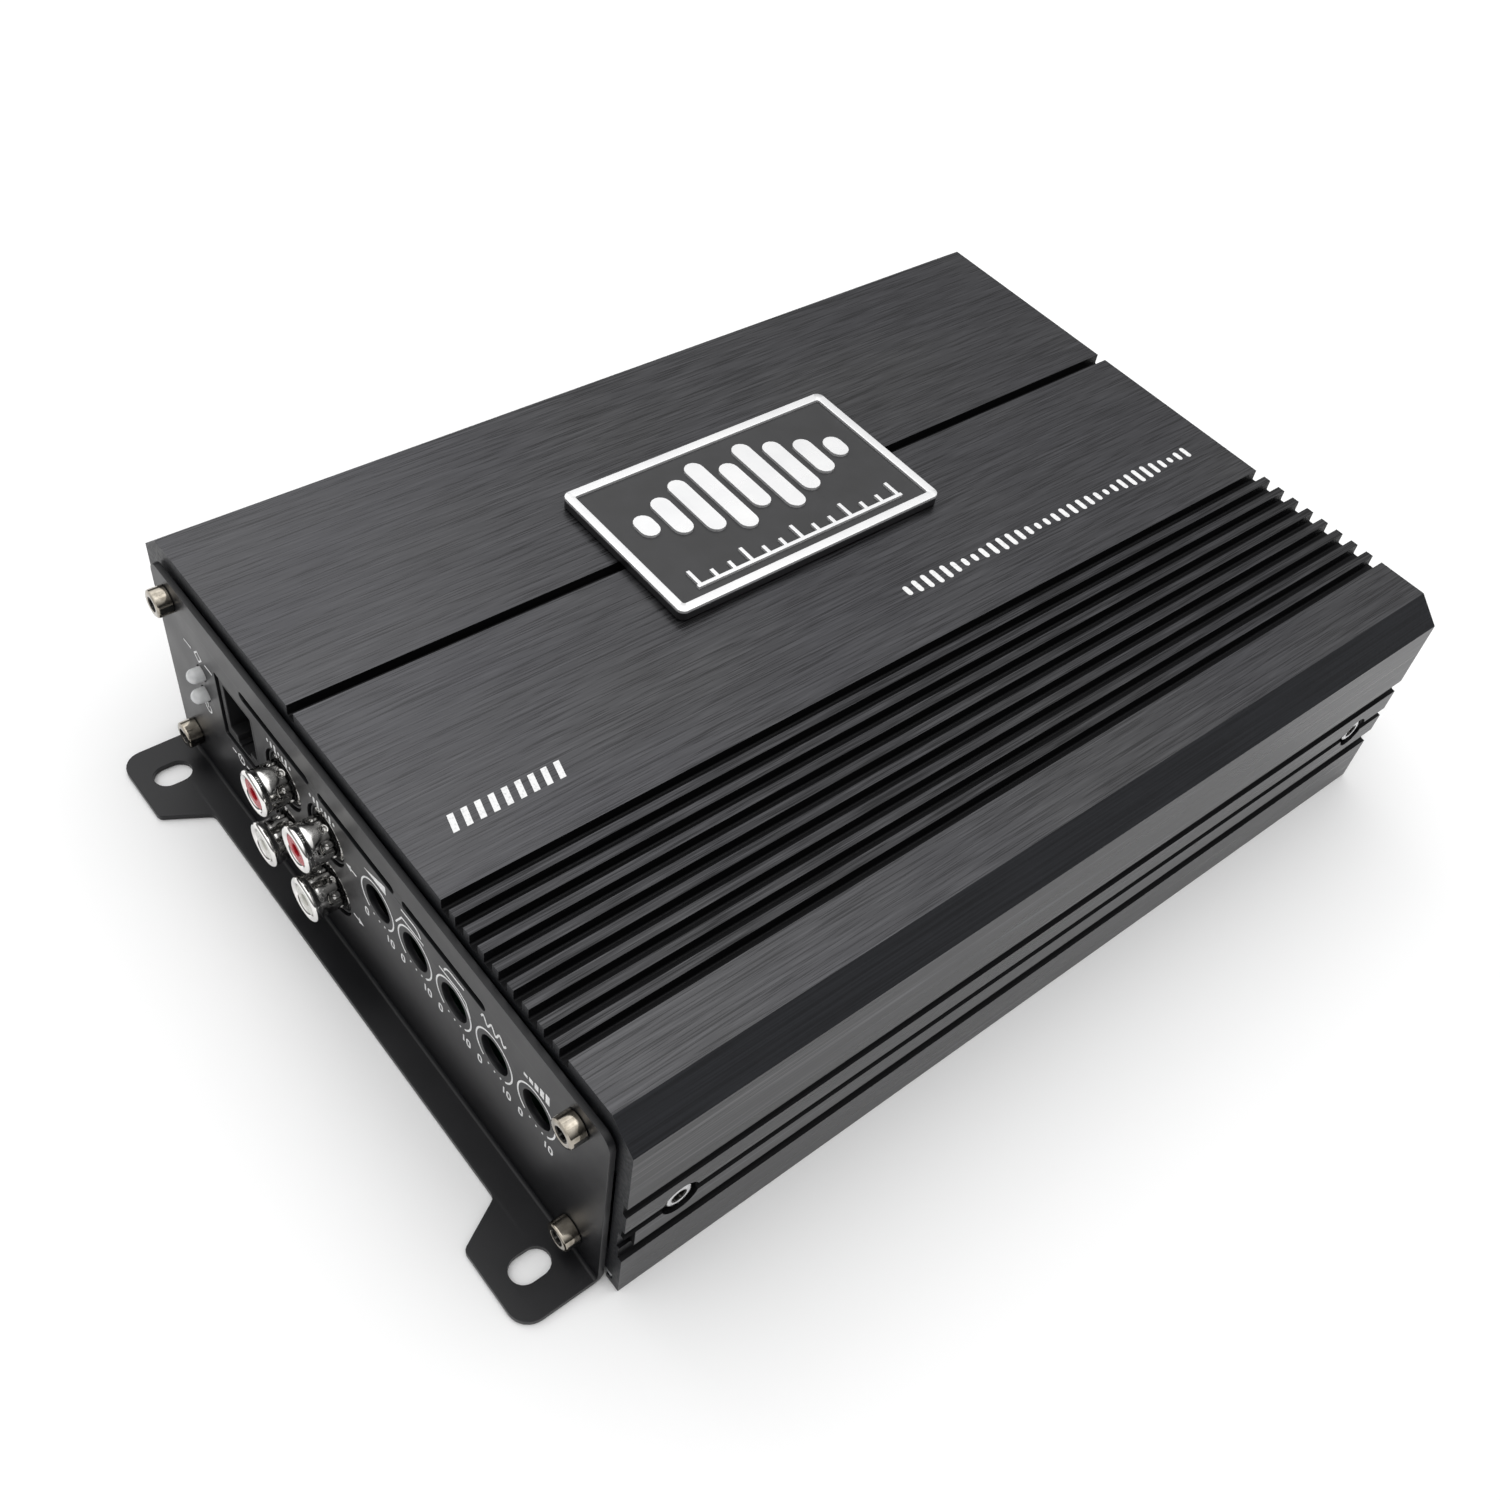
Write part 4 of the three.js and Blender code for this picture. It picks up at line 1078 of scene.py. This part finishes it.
def badge():
    low, mid, high = box_of("badge")
    plaque = prism(inset(low, high, 0.05, 1.55), "z", low.z, BADGE_FIELD + 0.1)
    field = prism(inset(low, high, BADGE_RIM - 0.1, 0.6), "z", BADGE_FIELD,
                  BADGE_FIELD + 1)
    piece("badge_plaque", cut(plaque, field), BADGE_BLACK, "badge",
          bevel=0.2)
    outer, inner = inset(low, high, 0, 1.6), inset(low, high, BADGE_RIM, 0.5)
    corners = (outer, MARK_ROOT), (outer, high.z), (inner, high.z), (inner, MARK_ROOT)
    rings = [[(x, y, z) for x, y in outline] for outline, z in corners]
    piece("badge_frame", loft(rings, closed=True), BRIGHT, "badge", bevel=0.16)
    marks = []
    for i, height in enumerate(BAR_HEIGHTS):
        x = mid.x + (i - (len(BAR_HEIGHTS) - 1) / 2) * BAR_PITCH
        bar_outline = pill((x, mid.y + 3.4), BAR_WIDTH, height)
        marks.append(prism(bar_outline, "z", MARK_ROOT, high.z))
    piece("badge_bars", joined(*marks), BRIGHT, "badge", bevel=0.16)
    y = mid.y - 13.2
    comb = [(mid.x - SCALE_HALF, y - 1.9), (mid.x + SCALE_HALF, y - 1.9),
            (mid.x + SCALE_HALF, y - 1.1)]
    for i in reversed(range(TICKS)):
        x = mid.x + (i - (TICKS - 1) / 2) * TICK_PITCH
        tip = y - 1.5 + (4.2 if i % 3 == 0 else 2.4)
        comb += [(x + TICK_HALF, y - 1.1), (x + TICK_HALF, tip), (x - TICK_HALF, tip),
                 (x - TICK_HALF, y - 1.1)]
    comb += [(mid.x - SCALE_HALF, y - 1.1)]
    piece("badge_scale", prism(comb, "z", MARK_ROOT, high.z), BRIGHT, "badge",
          bevel=0.08)


badge()

# --- printed marks

SLANTS = 9
SLANT_PITCH = 2.5
SLANT_LEAN = 0.9
SLANT_Y = (-15.2, -11.6)
DASH_WIDTH = 1.15
DASHES = 33
DIAL_RING_R = 5.05
SYMBOL_HALF = 3.4


def top_print():
    ink = Print("z", CASE_TOP, 1)
    low, high = SLANT_Y
    for i in range(SLANTS):
        x = -91.5 + SLANT_PITCH * i
        ink.fill([(x, low), (x + DASH_WIDTH, low), (x + DASH_WIDTH + SLANT_LEAN, high),
                  (x + SLANT_LEAN, high)])
    for i in range(DASHES):
        share = i / (DASHES - 1)
        wave = abs(math.sin(share * 4.1 * math.pi + 0.5)) * (0.8 + 0.2 * math.sin(share * 9))
        ink.fill(pill((8.6 + share * 81.8, -12.5), DASH_WIDTH, 1.6 + 2.4 * wave))
    ink.finish("top_print")


def dial_marks(ink, y, z, kind):
    """Ring, ends, numbers and a small symbol for one dial."""
    r, reach = DIAL_RING_R, SYMBOL_HALF
    ink.line(arc((y, z), r, -52, 232, 48))
    ink.zero(y + 4.3, z - 7.0)
    ink.one(y - 2.6, z - 7.0)
    ink.zero(y - 4.0, z - 7.0)
    for angle in (-70, -90, -110):
        a = math.radians(angle)
        ink.fill(ring((y + r * math.cos(a), z + r * math.sin(a)), 0.22, 12))
    top = z + 7.3
    if kind == "gain":
        ink.fill([(y + reach, top - 1.0), (y - reach, top - 1.0), (y - reach, top + 1.2)])
    elif kind == "low_pass":
        ink.line([(y + reach, top + 0.8)] + arc((y - 0.4, top - 1.2), 2.0, 90, 165, 6), 0.4)
    elif kind == "subsonic":
        ink.line([(y - reach, top + 0.8)] + arc((y + 0.4, top - 1.2), 2.0, 90, 15, 6), 0.4)
    elif kind == "boost_frequency":
        ink.line([(y + reach - 2 * reach * i / 24, top + 0.9 * math.sin(TAU * 3 * i / 24))
                  for i in range(25)], 0.4)
    else:
        for i in range(5):
            left, base = y + reach - 1.45 * i, top - 1.1
            height = 0.7 + 0.45 * i
            ink.fill([(left, base), (left - 1.0, base), (left - 1.0, base + height),
                      (left, base + height)])


def arrow(ink, y, z, way):
    """Small arrow pointing along y; way is 1 or -1."""
    ink.line([(y - way * 1.6, z), (y + way * 0.32, z)], 0.38)
    ink.fill([(y + way * 0.16, z - 0.75), (y + way * 1.76, z), (y + way * 0.16, z + 0.75)])


def dashes(ink, y, z, near, far):
    """A short dash on each side of a mark."""
    for side in (-1, 1):
        ink.line([(y + side * near, z), (y + side * far, z)])


def control_print():
    ink = Print("x", -PANEL_FRONT, -1)
    for dial in DIALS:
        at = mid_of(dial + "_rotor")
        dial_marks(ink, at.y, at.z, dial)
    ink.line([(-12.8, 32.6), (-15.0, 36.2), (-21.6, 36.2)], 0.35)
    ink.line([(-26.2, 36.2), (-32.0, 36.2), (-33.9, 35.3), (-35.0, 32.4)], 0.35)
    for name in JACKS[:2]:
        at = mid_of(name + "_shell")
        for i in range(7):
            ink.fill(pill((at.y + 3.9 - 1.3 * i, at.z + 7.0), 0.6, 0.8 + 0.6 * (i % 3)))
    arrow(ink, 1.6, 30.4, 1)
    arrow(ink, 1.4, 16.2, -1)
    at = mid_of("protect_lamp")
    y, z = at.y, at.z + 4.3
    ink.line([(y + 1.3, z), (y, z + 1.3), (y - 1.3, z), (y, z - 1.3)], closed=True)
    dashes(ink, y, z, 2.6, 5.4)
    at = mid_of("power_lamp")
    y, z = at.y, at.z - 3.7
    ink.line(arc((y, z), 1.15, 125, 415, 20), 0.34)
    ink.line([(y, z), (y, z + 1.5)], 0.34)
    y, z = mid_of("remote_port").y + 1.5, 18.4
    ink.line(ring((y, z), 1.1, 20), 0.34, True)
    ink.line([(y, z), (y, z + 1.5)], 0.34)
    dashes(ink, y, z, 2.0, 3.4)
    ink.finish("control_panel_print")


def power_print():
    """Signs for supply, remote, ground and the two speaker terminals."""
    ink = Print("x", PANEL_FRONT, 1)
    z = 27.8
    for name in TERMINALS:
        y = mid_of(name + "_terminal_screw").y
        if name == "remote":
            ink.line(ring((y, z), 1.2, 20), 0.38, True)
            ink.fill(ring((y, z), 0.45, 16))
        elif name == "ground":
            ink.line([(y, z + 1.4), (y, z)], 0.38)
            for i, half in enumerate((1.5, 1.0, 0.45)):
                ink.line([(y - half, z - 0.7 * i), (y + half, z - 0.7 * i)])
        else:
            ink.line([(y - 1.4, z), (y + 1.4, z)], 0.42)
            if name != "speaker_minus":
                ink.line([(y, z - 1.4), (y, z + 1.4)], 0.42)
    left, right = (mid_of(name + "_terminal_screw").y for name in TERMINALS[3:])
    mid = (left + right) / 2
    ink.fill([(mid - 0.7, 31.0), (mid + 0.1, 31.0), (mid + 1.3, 30.0), (mid + 1.3, 34.0),
              (mid + 0.1, 33.0), (mid - 0.7, 33.0)])
    ink.line([(left, 29.9), (left, 32.0), (mid - 1.8, 32.0)], 0.35)
    ink.line([(right, 29.9), (right, 32.0), (mid + 2.4, 32.0)], 0.35)
    ink.finish("power_panel_print")


top_print()
control_print()
power_print()

# --- power end

ENTRY_R = [4, 3, 4, 3.3, 3.3]
ENTRY_Z = 14.4
TUBE_LENGTH = 14
SCREW_WELL_R = 2.7
TERMINAL_FRONT = 112.4
TERMINAL_TOP = 24.0
TERMINAL_EDGE = 22
HOUSING_FLOOR = 9.2
FUSE_BLOCK_FRONT = 102.3
BLADE_Y = (-6.9, 6.9)
GAP_Y = (-37, -23, -8, 6.5)
FUSE_FRONT = 102.6
THREADS = 9
THREAD_PITCH = 0.44


def terminal(name, entry_r):
    """Clamp sleeve and grub screw of one terminal."""
    _, at, high = box_of(name + "_terminal_screw")
    thin, r = entry_r - 0.55, entry_r - 0.06
    tube = [(thin, 0), (r, 0), (r, TUBE_LENGTH), (thin, TUBE_LENGTH)]
    sleeve = revolved(tube, "+x", (97.2, at.y, ENTRY_Z), closed=True)
    hole = rod("z", at.x, at.y, SCREW_WELL_R - 0.05, (ENTRY_Z, 30), 48)
    piece(name + "_clamp_sleeve", cut(sleeve, hole), NICKEL_SCREW)
    profile = [(0.02, -5.2), (1.6, -5.2), (2.1, -4.7)]
    for i in range(THREADS):
        h = -4.5 + i * THREAD_PITCH
        profile += [(2.4, h), (2.18, h + THREAD_PITCH / 2)]
    profile += [(2.4, -0.5), (2.4, -0.2), (2.2, 0), (1.75, 0), (-2.5, -0.15),
                (-2.5, -2.2), (0.02, -2.6)]
    seat = (at.x, at.y, high.z)
    piece(name + "_grub_screw", revolved(profile, "+z", seat, radius=hex_socket),
          NICKEL_SCREW, name + "_terminal_screw", body=name + "_clamp",
          weighted=False)


def connector_block():
    low, _, high = box_of("connector_block")
    front, top, base = TERMINAL_FRONT, TERMINAL_TOP, HOUSING_FLOOR
    back = block(low.x, 99.9, low.y, high.y, min(low.z, base), top)
    body = fused(back, block(99, front, low.y, TERMINAL_EDGE, base, top),
                 block(99, FUSE_BLOCK_FRONT, TERMINAL_EDGE - 1, high.y - 1, base, top),
                 block(low.x, FUSE_BLOCK_FRONT, BLOCK_STEP, high.y, base, high.z))
    cuts = []
    for name, r in zip(TERMINALS, ENTRY_R):
        at = mid_of(name + "_terminal_screw")
        cuts.append(rod("x", at.y, ENTRY_Z, r, (94, front + 1), 48))
        cuts.append(rod("z", at.x, at.y, SCREW_WELL_R, (ENTRY_Z, 30), 48))
    for i in (1, 2):
        at = mid_of(f"fuse_{i}")
        cuts += [bar(93, FUSE_BLOCK_FRONT + 1, at.y + dy, 2.9, at.z, 0.7) for dy in BLADE_Y]
    cuts += [block(front - 3.0, front + 1, y - 0.5, y + 0.5, 9, 25) for y in GAP_Y]
    piece("terminal_housing", cut(body, *cuts), BLACK_PLASTIC,
          "connector_block", bevel=0.25)
    for name, r in zip(TERMINALS, ENTRY_R):
        terminal(name, r)


def fuses():
    for i in (1, 2):
        node = f"fuse_{i}"
        low, at, high = box_of(node)
        waist = high.x - 3.4
        shape = fused(bar(FUSE_FRONT, waist + 0.4, at.y, 8.2, at.z, 2.1),
                      bar(waist, high.x, at.y, 9.5, at.z, 2.6))
        cuts = [bar(high.x - 0.5, high.x + 1, at.y + side * 6.0, 1.6, at.z, 1.1)
                for side in (-1, 1)]
        cuts.append(bar(high.x - 0.35, high.x + 1, at.y, 3.2, at.z, 1.5))
        piece(f"fuse_body_{i}", cut(shape, *cuts), FUSE, node,
              body=f"fuse_link_{i}", bevel=0.3)
        blades = []
        for dy in BLADE_Y:
            y0, y1 = at.y + dy - 2.6, at.y + dy + 2.6
            outline = [(low.x + 0.9, y0), (FUSE_FRONT + 0.5, y0), (FUSE_FRONT + 0.5, y1),
                       (low.x + 0.9, y1), (low.x, y1 - 0.9), (low.x, y0 + 0.9)]
            blades.append(prism(outline, "z", at.z - 0.35, at.z + 0.35))
        piece(f"fuse_blades_{i}", joined(*blades), NICKEL_PAINTED_HIGHLIGHT, node,
              body=f"fuse_link_{i}", bevel=0.08)


connector_block()
fuses()

# --- floor and interior

PLATE_FEET = (80, 55)
BOARD_DRILLS = (92, 54)
BAR_BORES = (-89, 89)
BAR_BORE_Z = 20.7
LEG_PITCH = 2.54
WIRE_DEPTH = 0.18
ROUNDING = 2.4


def slab(name, node, material, slot, bevel, *holes):
    piece(name, cut(block_of(node), *holes), material, node, bevel=bevel)


def coil(name, node, material, turns, count, inner):
    """Wound ring, its windings pressed into the outside as waves."""
    low, mid, high = box_of(node)
    outer = (high.x - low.x) / 2 - 0.2
    tall, soft = high.z - low.z, ROUNDING
    profile = []
    for i, (cx, cy) in enumerate(((outer - soft, soft + 0.2),
                                  (outer - soft, tall - soft - 0.2),
                                  (inner + soft, tall - soft - 0.2),
                                  (inner + soft, soft + 0.2))):
        profile += arc((cx, cy), soft - 0.2, 90 * i - 90, 90 * i, 5)
    shape = revolved(profile, "+z", (mid.x, mid.y, low.z), count, closed=True,
                     radius=lambda r, h, a: r + WIRE_DEPTH * math.cos(a * turns))
    piece(name, shape, material, node, sharp=80, weighted=False)


def capacitor(name, node):
    low, mid, high = box_of(node)
    tall, score_z = high.z - low.z, (high.z - 0.6, high.z + 1)
    profile = [(0.02, 0), (8.6, 0), (9.0, 0.4), (9.0, 1.8), (8.7, 2.3), (9.0, 2.8),
               (9.0, tall - 0.7), (8.8, tall - 0.2), (8.3, tall), (7.6, tall),
               (7.3, tall - 0.35), (0.02, tall - 0.35)]
    can = revolved(profile, "+z", (mid.x, mid.y, low.z), 64)
    score = [block(mid.x - x, mid.x + x, mid.y - y, mid.y + y, *score_z)
             for x, y in ((5, 0.2), (0.2, 5))]
    piece(name, cut(can, *score), SLEEVE, node)


def interior():
    low, _, high = box_of("bottom_plate")
    foot = [(0.02, -0.4), (2.0, -0.4), (3.2, 0.35), (0.02, 0.35)]
    x, y = PLATE_FEET
    dimples = [revolved(foot, "+z", (sx * x, sy * y, low.z)) for sx in (-1, 1)
               for sy in (-1, 1)]
    slab("floor_plate", "bottom_plate", ZINC, "zinc_plated", 0.15, *dimples)
    low, _, high = box_of("circuit_board")
    x, y = BOARD_DRILLS
    drills = [rod("z", sx * x, sy * y, 1.7, (low.z - 1, high.z + 1)) for sx in (-1, 1)
              for sy in (-1, 1)]
    slab("main_board", "circuit_board", BOARD, "board", 0.1, *drills)
    slab("dial_board", "control_board", BOARD, "board", 0.1)
    coil("transformer_winding", "power_transformer", WIRE, 96, 384, 7.2)
    coil("inductor_core", "output_inductor", FERRITE, 40, 240, 5.2)
    for i in (1, 2):
        capacitor(f"capacitor_{i}", f"supply_capacitor_{i}")
    for wall, side in (("front", -1), ("rear", 1)):
        low, _, high = box_of(wall + "_clamp_bar")
        bores = [rod("y", BAR_BORE_Z, x, BORE_R, (low.y - 1, high.y + 1)) for x in BAR_BORES]
        slab(wall + "_pressure_bar", wall + "_clamp_bar", ALUMINIUM, "bare_aluminium", 0.3,
             *bores)
        for i in (1, 2):
            transistor(f"{wall}_transistor_{i}", side)


def transistor(node, side):
    """Package against its bar, with a tab above and three bent legs."""
    low, mid, high = box_of(node)
    x, z = mid.x, 20.8
    back, face, leg = 71.1, 66.7, 54.4

    def part(middle, half, near, far, z0, z1):
        y0, y1 = sorted((side * near, side * far))
        return block(middle - half, middle + half, y0, y1, z0, z1)

    body = part(x, 5.1, face, back, z - 5, z + 5)
    tab = part(x, 5.1, back - 1.3, back, z + 4.9, high.z)
    hole = rod("y", z + 8.6, x, BORE_R, sorted((side * 68, side * 73)))
    shape = cut(fused(body, tab), hole)
    for step in (-LEG_PITCH, 0, LEG_PITCH):
        shape = fused(shape, part(x + step, 0.4, leg, face + 1, 15.9, 16.7),
                      part(x + step, 0.4, leg, leg + 0.8, low.z, 16.7))
    piece(node + "_package", shape, EPOXY, node, bevel=0.12)


interior()

# --- stage

SKY_LOW = 0.05
SKY_HIGH = 2.0
SKY_POWER = 2.0
FLOOR_HALF = 30.0
FLOOR_Z = -0.0002
FLOOR_WHITE = (0.97, 0.97, 0.97)


def sky():
    """World light: pale overhead, dimmer towards the horizon."""
    world = bpy.data.worlds.new("studio")
    world.use_nodes = True
    tree = world.node_tree
    way = add_node(tree, "TexCoord", {}).outputs["Generated"]
    height = add_node(tree, "SeparateXYZ", {0: way}).outputs["Z"]
    above = add_math(tree, "MAXIMUM", height, 0.0)
    share = add_math(tree, "POWER", above, SKY_POWER)
    strength = add_node(tree, "MapRange", {"Value": share, "To Min": SKY_LOW,
                                           "To Max": SKY_HIGH}).outputs[0]
    ray = add_node(tree, "LightPath", {}).outputs["Is Camera Ray"]
    seen = add_node(tree, "Mix", {0: ray, 2: strength, 3: 1.0}).outputs[0]
    wire(tree, tree.nodes["Background"], {"Color": (1, 1, 1), "Strength": seen})
    bpy.context.scene.world = world


def softbox(name, at, size, power):
    """Square area light at a place in metres, aimed at the object."""
    light = bpy.data.lights.new(name, "AREA")
    light.size = size
    light.energy = power
    holder = new_object(name, light)
    holder.location = at
    holder.rotation_mode = "QUATERNION"
    holder.rotation_quaternion = (-Vector(at)).to_track_quat("-Z", "Y")


def floor():
    grid = bmesh.new()
    bmesh.ops.create_grid(grid, x_segments=1, y_segments=1, size=FLOOR_HALF)
    mesh = bpy.data.meshes.new("floor")
    grid.to_mesh(mesh)
    grid.free()
    plane = new_object("floor", mesh)
    plane.location.z = FLOOR_Z
    mesh.materials.append(Shade("pale_floor", Roughness=0.9, Specular_IOR_Level=0.0,
                                Base_Color=FLOOR_WHITE).material)


sky()
floor()
softbox("key", (0.05, 1.0, 1.0), 0.9, 2)
softbox("fill", (0.5, -0.3, 1.4), 0.8, 1.5)
bpy.context.scene.view_settings.view_transform = "Standard"
